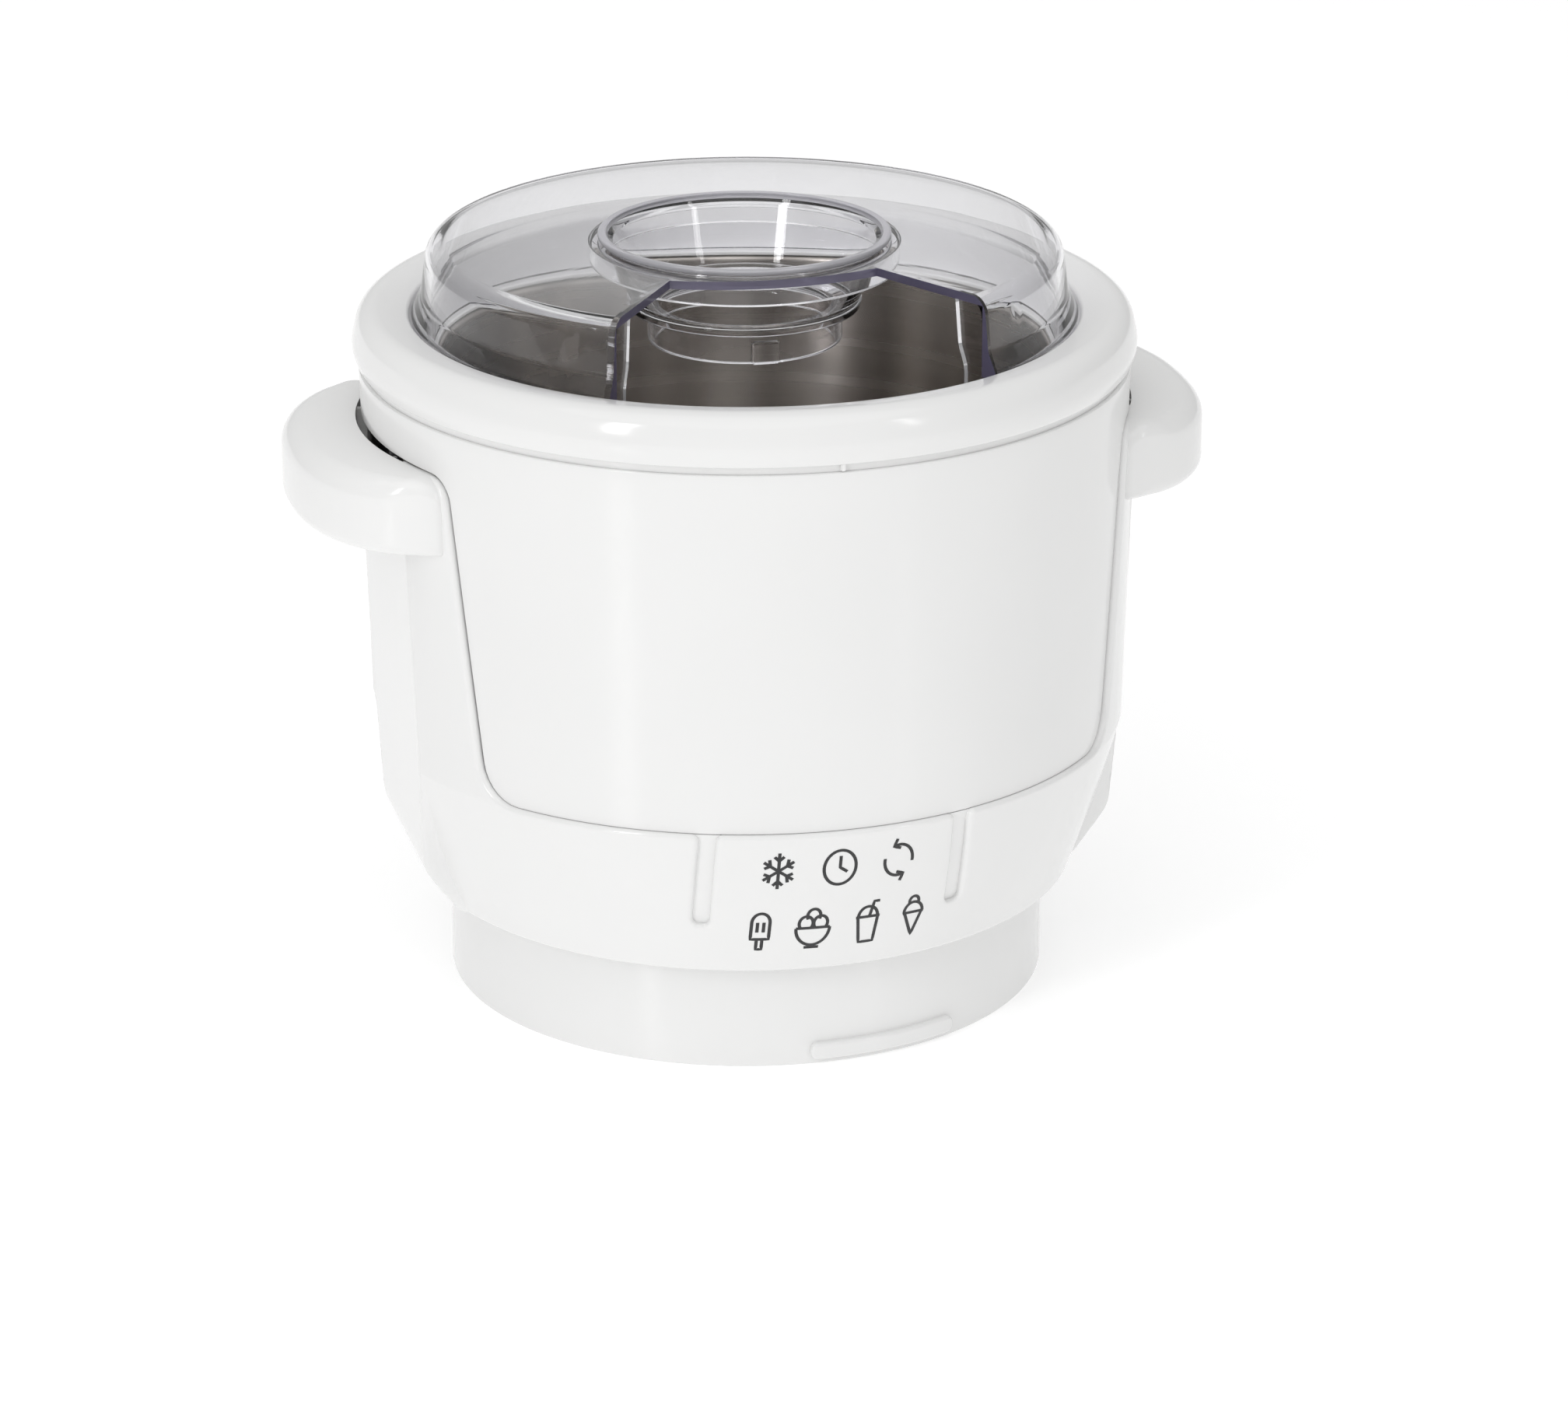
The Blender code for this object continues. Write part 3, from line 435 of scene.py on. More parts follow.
def make_slot_floor(side):
    """White floor of a slot, a little behind the wall's face."""
    low, high = SLOT_LOW_Z - SLOT_FLOOR_OVER, LIP_Z - 0.1
    reach = SLOT_HALF + SLOT_FLOOR_OVER
    bm = bmesh.new()
    columns, rows = 8, 14
    grid = []
    for j in range(rows + 1):
        z = mix(low, high, j / rows)
        line = []
        for i in range(columns + 1):
            x = side * SLOT_X + mix(-reach, reach, i / columns)
            face = wall_radius(z) - SLOT_DEPTH
            line.append((x, z, face))
        grid.append(line)
    for back in (0.0, SLOT_FLOOR_T):
        for line in grid:
            for x, z, face in line:
                bm.verts.new((x, -math.sqrt((face - back) ** 2 - x * x), z))
    bm.verts.ensure_lookup_table()
    width, layer = columns + 1, (columns + 1) * (rows + 1)
    for j in range(rows):
        for i in range(columns):
            a = j * width + i
            corners = (a, a + 1, a + 1 + width, a + width)
            bm.faces.new([bm.verts[c] for c in corners])
            bm.faces.new([bm.verts[c + layer] for c in reversed(corners)])
    rim = [e for e in bm.edges if e.is_boundary]
    bmesh.ops.bridge_loops(bm, edges=rim)
    return add_object("slot_floor_" + ("left" if side < 0 else "right"), bm)


def under_corner(x, y, z):
    """Let a handle point follow the rounded upper corner of the arm beside the seam."""
    radius = math.hypot(x, y)
    seam = SEAM_TOP + 0.4
    reach = max(DEV_R * math.atan2(x, abs(y)), seam)
    inside = max(0.0, seam + SEAM_TOP_ROUND - reach)
    drop = SEAM_TOP_ROUND - math.sqrt(max(0.0, SEAM_TOP_ROUND ** 2 - inside ** 2))
    share = (z - GRIP_LOW) / (GRIP_TOP - GRIP_LOW)
    angle = reach / DEV_R
    return radius * math.sin(angle), math.copysign(radius * math.cos(angle), y), z - drop * share


def grip_section(k, count):
    """One cross-section of the right handle, from the inner top edge all round."""
    angle = math.pi * (k / count - 0.5)
    power = 2 / GRIP_POWER
    reach = HANDLE_TIP - GRIP_BASE
    out = max(0.0, math.cos(angle)) ** power
    along = math.copysign(abs(math.sin(angle)) ** power, angle) * GRIP_HALF
    outer = Vector((GRIP_BASE + reach * out, along))
    t = along * GRIP_INNER
    gap = math.hypot(GAP_OFFSET + math.sqrt(GAP_R ** 2 - t * t), t)
    radius = max(GRIP_SEAT_R, gap)
    inner = Vector((math.sqrt(radius ** 2 - t * t), t))
    width = (outer - inner).length
    way = (outer - inner).normalized()
    turn = min(GRIP_ROUND, width * 0.45)
    low_turn = min(GRIP_LOW_ROUND, width * 0.4)
    skin_q = max(width - GRIP_SKIN, 0.55 * width)
    hollow_q = min(HOLLOW_R - radius + 0.4, 0.5 * width)
    open_share = 1.0 - smooth_step(*GRIP_OPEN, abs(t))
    roof = mix(GRIP_LOW + 0.4, GRIP_TOP - GRIP_SKIN, open_share)
    section = [(0.0, GRIP_TOP)]
    for j in range(QUARTER_STEPS + 1):
        a = math.pi / 2 * (1 - j / QUARTER_STEPS)
        section.append((width - turn + turn * math.cos(a), GRIP_TOP - turn + turn * math.sin(a)))
    for j in range(QUARTER_STEPS + 1):
        a = GRIP_LOW_STOP * j / QUARTER_STEPS
        section.append((width - low_turn + low_turn * math.cos(a),
                        GRIP_LOW + low_turn - low_turn * math.sin(a)))
    section += [(skin_q, roof), (hollow_q, roof), (hollow_q, GRIP_LOW), (0.0, GRIP_LOW)]
    return [under_corner(inner.x + way.x * q, inner.y + way.y * q, z) for q, z in section]


def make_handle(side):
    """Half-moon handle: a swept section with a rounded outer edge, open underneath."""
    bm = bmesh.new()
    rings = [[bm.verts.new((side * x, y, z)) for x, y, z in grip_section(k, GRIP_STEPS)]
             for k in range(GRIP_STEPS + 1)]
    size = len(rings[0])
    for k in range(GRIP_STEPS):
        for j in range(size):
            n = (j + 1) % size
            bm.faces.new((rings[k][j], rings[k][n], rings[k + 1][n], rings[k + 1][j]))
    bm.faces.new(rings[0])
    bm.faces.new(list(reversed(rings[-1])))
    return add_object("handle_" + ("left" if side < 0 else "right"), bm, 40.0)


def make_gap_ribs():
    """Thin upright ribs that tie each handle to its arm across the gap."""
    ribs = []
    for side in (-1.0, 1.0):
        for end in (-1.0, 1.0):
            bm = box_mesh(RIB_SIZE, 0.3)
            move = Matrix.Translation((side * RIB_R, end * RIB_ASIDE, GRIP_TOP - RIB_DROP))
            turn = Matrix.Rotation(side * end * RIB_TURN, 4, "Z")
            bmesh.ops.transform(bm, matrix=move @ turn, verts=bm.verts)
            label = ("left" if side < 0 else "right") + ("_front" if end < 0 else "_rear")
            ribs.append(add_object("gap_rib_" + label, bm))
    return ribs


def make_holder_base():
    """Floor of the holder inside the wall, with its lower edge."""
    low = HOLDER_LOW
    return turned("holder_base", [(0.0, 33.2), (84.6, 33.2), (85.0, 31.6), (86.0, low + 0.6, 0.5),
                                  (84.6, low, 0.5), (0.0, low)])


# ---- foot, shell and rim ----

def make_foot():
    """Foot: a short ring, closed above around its hole."""
    inner, under = FOOT_R - 3.2, FOOT_H - 3.2
    return turned("foot", [(60.0, FOOT_H, 0.4), (FOOT_R, FOOT_H, 0.5), (FOOT_R, 0.0, 0.7),
                           (inner, 0.0, 0.7), (inner, under, 1.5), (60.0, under, 0.5)])


def make_lug(number, start_deg):
    """Bayonet lug: a low bar with rounded ends that follows the foot."""
    length = FOOT_R * math.radians(LUG_SPAN)
    outline = rounded([(0.0, LUG_LOW, LUG_ROUND), (length, LUG_LOW, LUG_ROUND),
                       (length, LUG_HIGH, LUG_ROUND), (0.0, LUG_HIGH, LUG_ROUND)])
    bm = plate_mesh(outline, -LUG_SUNK, LUG_PROUD, 0.8)
    slice_mesh(bm, 0, spaced(1.5, length - 1.5, 1.5))
    for vert in bm.verts:
        arc, z, height = vert.co
        angle = math.radians(start_deg) + arc / FOOT_R
        radius = FOOT_R + height
        vert.co = (radius * math.sin(angle), -radius * math.cos(angle), z)
    return add_object(f"foot_lug_{number}", bm, 50.0)


def shell_radius(z):
    """Outer radius of the container's shell."""
    return mix(SHELL_LOW[0], SHELL_TOP[0], (z - SHELL_LOW[1]) / (SHELL_TOP[1] - SHELL_LOW[1]))


def make_shell():
    """Container shell: front and rear panels that fill the holder's openings, and a band above."""
    low, high = LIP_Z + LIP_LINE, SHELL_TOP[1]
    above = HOLDER_TOP + SEAM_LINE
    half = [(SEAM_LOW - SEAM_LINE, low, SEAM_LOW_ROUND - SEAM_LINE),
            (SEAM_TOP - SEAM_LINE, above, SEAM_TOP_ROUND + SEAM_LINE),
            (HALF_TURN - SEAM_TOP + SEAM_LINE, above, SEAM_TOP_ROUND + SEAM_LINE),
            (HALF_TURN - SEAM_LOW + SEAM_LINE, low, SEAM_LOW_ROUND - SEAM_LINE),
            (HALF_TURN + SPARE, low)]
    left = [(-point[0], *point[1:]) for point in reversed(half)]
    outline = rounded(left + half + [(HALF_TURN + SPARE, high), (-HALF_TURN - SPARE, high)])
    bm = plate_mesh(outline, -SHELL_T, 0.0, SHELL_EDGE)
    slice_mesh(bm, 0, spaced(-HALF_TURN + 3, HALF_TURN - 3, 3.0))
    slice_mesh(bm, 1, spaced(low + 4.0, high - 4.0, 24.0))
    trim_mesh(bm, 0, HALF_TURN, True)
    trim_mesh(bm, 0, -HALF_TURN, False)
    for vert in bm.verts:
        arc, z, depth = vert.co
        angle = arc / DEV_R
        radius = shell_radius(z) + depth
        vert.co = (radius * math.sin(angle), -radius * math.cos(angle), z)
    bmesh.ops.remove_doubles(bm, verts=bm.verts, dist=0.01)
    return add_object("shell", bm, 50.0)


def make_rim():
    """Broad rim with a soft ridge, a groove edge and its skirt."""
    return turned("rim", [
        (88.2, 182.9, 1.2), (101.0, 185.2, 5.5), (103.4, 174.8, 7.5), (102.0, 171.2, 0.7),
        (100.4, 171.0, 0.3), (100.4, 169.05), (98.4, 169.05), (98.4, 163.0), (97.2, 163.0),
        (97.2, 170.0), (82.8, 170.0, 0.4), (82.8, 171.3, 0.5), (86.9, 171.5, 0.8)])


def make_rim_mark():
    """Small alignment mark in the groove at the front."""
    bm = box_mesh(MARK_SIZE, 0.25)
    bmesh.ops.translate(bm, vec=MARK_PLACE, verts=bm.verts)
    return add_object("rim_mark", bm)


def make_bowl():
    """Steel bowl with a rounded floor corner and a flange under the rim."""
    low, top = bottom_of("inner_bowl") + 1.0, top_of("inner_bowl")
    return turned("steel_bowl", [
        (0.0, low), (76.0, low, 10.0), (82.2, top, 1.4), (96.0, top, 0.3), (96.0, top - 1.0),
        (83.2, top - 1.0, 0.4), (77.0, low - 1.0, 11.0), (0.0, low - 1.0)])


# ---- lid and funnel ----

def turn_with_lid(bm):
    """Turn a mesh by the lid's own turn against the label."""
    bmesh.ops.rotate(bm, cent=(0, 0, 0), matrix=Matrix.Rotation(LID_TURN, 3, "Z"), verts=bm.verts)


def opening_outline():
    """Outline of the filling opening."""
    steps = 10
    half = []
    for k in range(1, steps + 1):
        x = CUT_CORNER[0] * k / steps
        half.append((x, CUT_ARC_Y - math.sqrt(CUT_ARC_R ** 2 - x * x)))
    reach = 70.0
    half.append((CUT_CORNER[0] + reach * math.sin(CUT_ANGLE),
                 -CUT_CORNER[1] - reach * math.cos(CUT_ANGLE)))
    return [(0.0, CUT_ARC_Y - CUT_ARC_R)] + half + [(-x, y) for x, y in reversed(half)]


def make_web_tool(side):
    """Upright rib along one side of the opening, as (distance from the corner, height)."""
    outline = rounded([(31.5, 173.9), (40.0, 173.9), (40.8, 181.8), (38.5, 187.3),
                       (37.2, 195.5), (35.5, 199.5), (28.0, 199.5), (29.3, 187.3, 8.0),
                       (31.5, 182.0, 8.0)])
    low, high = (-WEB_T, 0.0) if side > 0 else (0.0, WEB_T)
    bm = plate_mesh(outline, low, high)
    upright = Matrix(((0, 0, -1, 0), (-1, 0, 0, 0), (0, 1, 0, 0), (0, 0, 0, 1)))
    turn = Matrix.Rotation(side * CUT_ANGLE, 4, "Z")
    corner = Matrix.Translation((side * CUT_CORNER[0], -CUT_CORNER[1], 0.0))
    bmesh.ops.transform(bm, matrix=corner @ turn @ upright, verts=bm.verts)
    turn_with_lid(bm)
    return add_object("web_tool", bm)


def off_outline(x, y, outline):
    """Distance of a point from a closed outline."""
    nearest = math.inf
    for (x0, y0), (x1, y1) in zip(outline, outline[1:] + outline[:1]):
        dx, dy = x1 - x0, y1 - y0
        t = ((x - x0) * dx + (y - y0) * dy) / (dx * dx + dy * dy)
        t = min(1.0, max(0.0, t))
        nearest = min(nearest, math.hypot(x - x0 - t * dx, y - y0 - t * dy))
    return nearest


def side_way(side):
    """Direction of one straight side of the opening, outwards."""
    return Vector((side * math.sin(CUT_ANGLE), -math.cos(CUT_ANGLE), 0.0))


def paint_shade_on_cut_edges(lid):
    """Give the second material, which carries painted shade, to the faces that the opening cut
    through the sheet.
    """
    bm = bmesh.new()
    bm.from_mesh(lid.data)
    turn = Matrix.Rotation(LID_TURN, 3, "Z")
    planes = [(Vector((0.0, 0.0, LID_TOP - LID_T)), Vector((0.0, 0.0, 1.0)))]
    for side in (-1.0, 1.0):
        corner = Vector((side * CUT_CORNER[0], -CUT_CORNER[1], 0.0))
        planes.append((turn @ (corner + WALL_REACH * side_way(side)), turn @ side_way(side)))
    for place, normal in planes:
        geom = bm.verts[:] + bm.edges[:] + bm.faces[:]
        bmesh.ops.bisect_plane(bm, geom=geom, dist=1e-7, plane_co=place * MM, plane_no=normal)
    bm.to_mesh(lid.data)
    bm.free()
    outline = opening_outline()
    for face in lid.data.polygons:
        centre = turn.transposed() @ face.center / MM
        side = math.copysign(1.0, centre.x)
        corner = Vector((side * CUT_CORNER[0], -CUT_CORNER[1], 0.0))
        in_wall = (centre - corner).dot(side_way(side)) > WALL_REACH
        in_sheet = centre.z > LID_TOP - LID_T or (in_wall and centre.z > CUT_LOW)
        upright = abs(face.normal.z) < 0.3
        if upright and in_sheet and off_outline(centre.x, centre.y, outline) < 0.1:
            face.material_index = 1


def paint_light_on_lip(funnel):
    """Give the second material, which carries painted light, to the funnel's flange, which looks
    lighter than its wall.
    """
    for face in funnel.data.polygons:
        reach = math.hypot(face.center.x, face.center.y) / MM
        if reach > FLANGE_IN and face.center.z / MM > FLANGE_LOW:
            face.material_index = 1


def make_lid():
    """Clear cover with a rounded wall, a collar and the filling opening."""
    under = LID_TOP - LID_T
    lid = turned("clear_lid", [
        (37.0, LID_TOP, 0.4), (83.1, LID_TOP, 5.0), (84.8, 187.6, 4.0), (87.5, 182.4, 0.8),
        (86.3, LID_LOW, 0.4), (83.6, LID_LOW, 0.4), (84.4, 181.6, 2.0), (82.3, 187.0, 3.0),
        (80.9, under, 3.4), (HUB_R, under, 0.6), (HUB_R, HUB_LOW, 0.4), (38.4, HUB_LOW, 0.4),
        (38.4, under - 0.4), (37.0, under - 0.4, 0.3)])
    lid = combined(lid, [make_web_tool(side) for side in (-1.0, 1.0)], "UNION")
    bm = plate_mesh(opening_outline(), CUT_LOW, LID_TOP + 5.0)
    turn_with_lid(bm)
    lid = combined(lid, [add_object("opening_tool", bm)], "DIFFERENCE")
    return lid


def make_funnel():
    """Clear funnel with a flange, a throat and a lug at its front."""
    funnel = turned("clear_funnel", [
        (36.4, FUNNEL_TOP, 0.6), (38.4, FUNNEL_TOP, 0.8), (38.4, 201.8, 0.5), (36.5, 201.8, 0.4),
        (30.0, 185.1, 0.5), (30.4, 185.1, 0.4), (30.4, 183.1, 0.6), (25.6, 182.5, 0.5),
        (25.6, THROAT_LOW, 0.5), (23.4, THROAT_LOW, 0.5), (23.4, 184.3, 1.0), (28.4, 185.5, 2.0),
        (34.4, 201.0, 2.0)])
    bm = box_mesh(THROAT_LUG_SIZE, 0.5, 3)
    place = (0.0, -THROAT_LUG_R, THROAT_LOW + THROAT_LUG_LIFT)
    bmesh.ops.translate(bm, vec=place, verts=bm.verts)
    turn_with_lid(bm)
    return combined(funnel, [add_object("lug_tool", bm)], "UNION")


# ---- printed symbols ----

PRINT_X = (-18.7, -5.2, 9.3, 22.0)
PRINT_Z = 43.7
TOP_ROW_X = (-15.5, 0.4, 16.2)
TOP_ROW_Z = 62.2
PRINT_TALLER = 1.25
STROKE = 0.85


def arc(cx, cy, radius, start_deg, end_deg, steps=20):
    """Points of an arc."""
    return [(cx + radius * math.cos(math.radians(mix(start_deg, end_deg, k / steps))),
             cy + radius * math.sin(math.radians(mix(start_deg, end_deg, k / steps))))
            for k in range(steps + 1)]


def snowflake():
    """Six arms, each with a pair of barbs."""
    lines = []
    for k in range(6):
        angle = math.radians(60 * k + 30)
        way = Vector((math.cos(angle), math.sin(angle)))
        lines.append([(0.0, 0.0), tuple(way * 4.4)])
        for turn in (-1, 1):
            side = math.radians(60 * k + 30 + 50 * turn)
            tip = way * 2.5 + Vector((math.cos(side), math.sin(side))) * 1.6
            lines.append([tuple(way * 2.5), tuple(tip)])
    return lines


def clock():
    return [arc(0, 0, 4.2, 0, 360, 40), [(0, 2.8), (0, 0), (2.0, -1.2)]]


def turning_arrows():
    """Two arrows that chase each other round a circle."""
    lines = []
    radius, barb = 3.8, 2.0
    for start in (-10, 170):
        lines.append(arc(0, 0, radius, start, start + 125, 18))
        end = math.radians(start + 125)
        tip = (radius * math.cos(end), radius * math.sin(end))
        ends = []
        for lean in (-0.7, 0.7):
            way = end - math.pi / 2 + lean
            ends.append((tip[0] + barb * math.cos(way), tip[1] + barb * math.sin(way)))
        lines.append([ends[0], tip, ends[1]])
    return lines


def ice_lolly():
    body = arc(0, 1.9, 2.3, 0, 180) + [(-2.3, -2.4), (2.3, -2.4), (2.3, 1.9)]
    return [body, [(-0.7, -2.4), (-0.7, -5.0), (0.7, -5.0), (0.7, -2.4)], [(-0.8, 1.9), (-0.8, -0.6)],
            [(0.8, 1.9), (0.8, -0.6)]]


def bowl_of_scoops():
    return [[(-4.4, 0.0), (4.4, 0.0)], arc(0, 0, 4.4, 180, 360, 24), [(-1.9, -5.0), (1.9, -5.0)],
            [(0, -4.4), (0, -5.0)], arc(-1.9, 1.2, 1.8, -40, 220), arc(1.9, 1.2, 1.8, -40, 220),
            arc(0, 3.1, 1.7, -30, 210)]


def shake_cup():
    return [[(-2.7, 1.4), (-1.9, -5.0), (1.9, -5.0), (2.7, 1.4)], [(-3.2, 1.4), (3.2, 1.4)],
            arc(0, 1.4, 2.6, 0, 180), [(0.4, 1.4), (1.4, 5.2), (2.9, 5.2)]]


def cone():
    return [[(-2.4, 0.6), (0, -5.2), (2.4, 0.6)], [(-2.9, 0.6), (2.9, 0.6)],
            arc(0, 0.6, 2.6, 0, 180), arc(0, 3.4, 1.3, -20, 200)]


def make_print(name, lines, centre_x, centre_z):
    """Symbol printed on the band: flat strokes that follow the surface."""
    curve = bpy.data.curves.new(name, "CURVE")
    curve.dimensions = "3D"
    curve.bevel_depth = STROKE / 2
    curve.bevel_resolution = 2
    curve.use_fill_caps = True
    for line in lines:
        dense = []
        for (x0, y0), (x1, y1) in zip(line, line[1:]):
            pieces = max(1, round(math.hypot(x1 - x0, y1 - y0) / 0.7))
            dense += [(mix(x0, x1, k / pieces), mix(y0, y1, k / pieces)) for k in range(pieces)]
        dense.append(line[-1])
        spline = curve.splines.new("POLY")
        spline.points.add(len(dense) - 1)
        for point, (x, y) in zip(spline.points, dense):
            point.co = (x, y * PRINT_TALLER, 0.0, 1.0)
    bm = curve_mesh(curve)
    for vert in bm.verts:
        x = centre_x + vert.co.x
        z = centre_z + vert.co.y
        height = 0.02 + 0.03 * (vert.co.z / (STROKE / 2) + 1)
        radius = wall_radius(z) + height
        vert.co = (x, -math.sqrt(radius ** 2 - x * x), z)
    return add_object(name, bm, 60.0)


# ---- materials ----

def new_material(name):
    """Empty node material with its Principled shader."""
    mat = bpy.data.materials.new(name)
    mat.use_nodes = True
    return mat, mat.node_tree, mat.node_tree.nodes["Principled BSDF"]


def add_node(tree, kind, **settings):
    """Add a node and set its plain inputs by name."""
    node = tree.nodes.new(kind)
    for key, value in settings.items():
        node.inputs[key.replace("_", " ")].default_value = value
    return node


def object_points(tree):
    return tree.nodes.new("ShaderNodeTexCoord").outputs["Object"]


def noise(tree, vector, scale, detail=3.0):
    """Noise texture in object space; scale is in cycles per metre."""
    node = add_node(tree, "ShaderNodeTexNoise", Scale=scale, Detail=detail)
    tree.links.new(vector, node.inputs["Vector"])
    return node.outputs["Fac"]


def ranged(tree, value, low, high):
    """Map a 0 to 1 value to low to high."""
    node = add_node(tree, "ShaderNodeMapRange", To_Min=low, To_Max=high)
    tree.links.new(value, node.inputs["Value"])
    return node.outputs["Result"]


def bumped(tree, shader, height, strength, distance):
    """Give a shader a fine bump."""
    node = add_node(tree, "ShaderNodeBump", Strength=strength, Distance=distance)
    tree.links.new(height, node.inputs["Height"])
    tree.links.new(node.outputs["Normal"], shader.inputs["Normal"])


def math_node(tree, operation, *values):
    """Math node whose inputs are sockets or plain numbers."""
    node = tree.nodes.new("ShaderNodeMath")
    node.operation = operation
    for socket, value in zip(node.inputs, values):
        if isinstance(value, bpy.types.NodeSocket):
            tree.links.new(value, socket)
        else:
            socket.default_value = value
    return node.outputs["Value"]


def joined(tree, **sockets):
    """Vector made of the sockets given for X, Y and Z."""
    node = tree.nodes.new("ShaderNodeCombineXYZ")
    for axis, socket in sockets.items():
        tree.links.new(socket, node.inputs[axis])
    return node.outputs["Vector"]


def tinted(tree, value, dark, light):
    """Colour between dark and light by a 0 to 1 value."""
    node = tree.nodes.new("ShaderNodeMix")
    node.data_type = "RGBA"
    node.inputs["A"].default_value = (*dark, 1.0)
    node.inputs["B"].default_value = (*light, 1.0)
    tree.links.new(value, node.inputs["Factor"])
    return node.outputs["Result"]


def plastic(name, dark, light, rough, grain=2600.0, bump=0.015):
    """Moulded plastic: faint colour drift, uneven gloss and a fine surface grain."""
    mat, tree, shader = new_material(name)
    points = object_points(tree)
    drift = noise(tree, points, 18.0, 2.0)
    tree.links.new(tinted(tree, drift, dark, light), shader.inputs["Base Color"])
    tree.links.new(ranged(tree, noise(tree, points, 90.0), *rough), shader.inputs["Roughness"])
    bumped(tree, shader, noise(tree, points, grain, 2.0), bump, 0.0002)
    shader.inputs["Specular IOR Level"].default_value = 0.5
    return mat


def brushed_steel(name, dark, light, rough):
    """Steel brushed round the axis: streaks that run along the circumference, and broad upright bands
    of lighter and darker colour that are painted reflections of the lamps.

    Radius counts for little, so that the facets of a wall don't bend its streaks.
    """
    mat, tree, shader = new_material(name)
    parts = tree.nodes.new("ShaderNodeSeparateXYZ")
    tree.links.new(object_points(tree), parts.inputs["Vector"])
    x, y, z = (parts.outputs[axis] for axis in "XYZ")
    angle = math_node(tree, "ARCTAN2", y, x)
    radius = tree.nodes.new("ShaderNodeVectorMath")
    radius.operation = "LENGTH"
    tree.links.new(joined(tree, X=x, Y=y), radius.inputs[0])
    rolled = joined(tree, X=math_node(tree, "MULTIPLY", angle, 0.0005),
                    Y=math_node(tree, "MULTIPLY", radius.outputs["Value"], 0.06), Z=z)
    streaks = noise(tree, rolled, 2600.0, 4.0)
    broad = noise(tree, rolled, 320.0, 2.0)
    # Painted reflections: broad upright bands, lighter and darker by the angle round the axis alone.
    painted_reflection_bands = ranged(tree, noise(tree, joined(tree, X=angle), 2.6, 1.0), -1.7, 2.3)
    streaks_and_painted_bands = math_node(tree, "MULTIPLY_ADD", streaks, 0.22, painted_reflection_bands)
    streaks_and_painted_bands.node.use_clamp = True
    tree.links.new(tinted(tree, streaks_and_painted_bands, dark, light), shader.inputs["Base Color"])
    tree.links.new(ranged(tree, broad, *rough), shader.inputs["Roughness"])
    bumped(tree, shader, streaks, 0.05, 0.00005)
    shader.inputs["Metallic"].default_value = 1.0
    shader.inputs["Anisotropic"].default_value = 0.75
    shader.inputs["Anisotropic Rotation"].default_value = 0.25
    tangent = tree.nodes.new("ShaderNodeTangent")
    tangent.direction_type = "RADIAL"
    tangent.axis = "Z"
    tree.links.new(tangent.outputs["Tangent"], shader.inputs["Tangent"])
    return mat


def clear_plastic(name):
    """Clear moulded plastic with a faint violet depth at its edges."""
    mat, tree, shader = new_material(name)
    points = object_points(tree)
    shader.inputs["Base Color"].default_value = (0.985, 0.985, 0.99, 1.0)
    shader.inputs["Transmission Weight"].default_value = 1.0
    shader.inputs["IOR"].default_value = 1.49
    tree.links.new(ranged(tree, noise(tree, points, 60.0), 0.0, 0.02), shader.inputs["Roughness"])
    bumped(tree, shader, noise(tree, points, 35.0, 1.0), 0.06, 0.0006)
    depth = add_node(tree, "ShaderNodeVolumeAbsorption", Density=8.0)
    depth.inputs["Color"].default_value = (0.34, 0.30, 0.52, 1.0)
    passing = tree.nodes.new("ShaderNodeBsdfTransparent")
    passing.inputs["Color"].default_value = (0.985, 0.985, 0.99, 1.0)
    choice = tree.nodes.new("ShaderNodeMixShader")
    shadow = tree.nodes.new("ShaderNodeLightPath").outputs["Is Shadow Ray"]
    tree.links.new(shadow, choice.inputs["Fac"])
    tree.links.new(shader.outputs["BSDF"], choice.inputs[1])
    tree.links.new(passing.outputs["BSDF"], choice.inputs[2])
    output = tree.nodes["Material Output"]
    tree.links.new(choice.outputs["Shader"], output.inputs["Surface"])
    tree.links.new(depth.outputs["Volume"], output.inputs["Volume"])
    return mat


def painted_clear_edge(name, dark, light, passing):
    """Edge of the clear plastic with a painted grey: a diffuse tone in place of how light passes
    through the edge, painted shade on the lid's cut edges and painted light on the funnel's flange.
    """
    mat, tree, shader = new_material(name)
    points = object_points(tree)
    tree.links.new(tinted(tree, noise(tree, points, 70.0), dark, light),
                   shader.inputs["Base Color"])
    shader.inputs["Roughness"].default_value = 0.16
    shader.inputs["Transmission Weight"].default_value = passing
    shader.inputs["IOR"].default_value = 1.49
    return mat


def ink(name):
    """Matt dark ink, slightly uneven."""
    mat, tree, shader = new_material(name)
    points = object_points(tree)
    tree.links.new(tinted(tree, noise(tree, points, 400.0), (0.012, 0.012, 0.013),
                          (0.03, 0.03, 0.032)), shader.inputs["Base Color"])
    shader.inputs["Roughness"].default_value = 0.42
    return mat


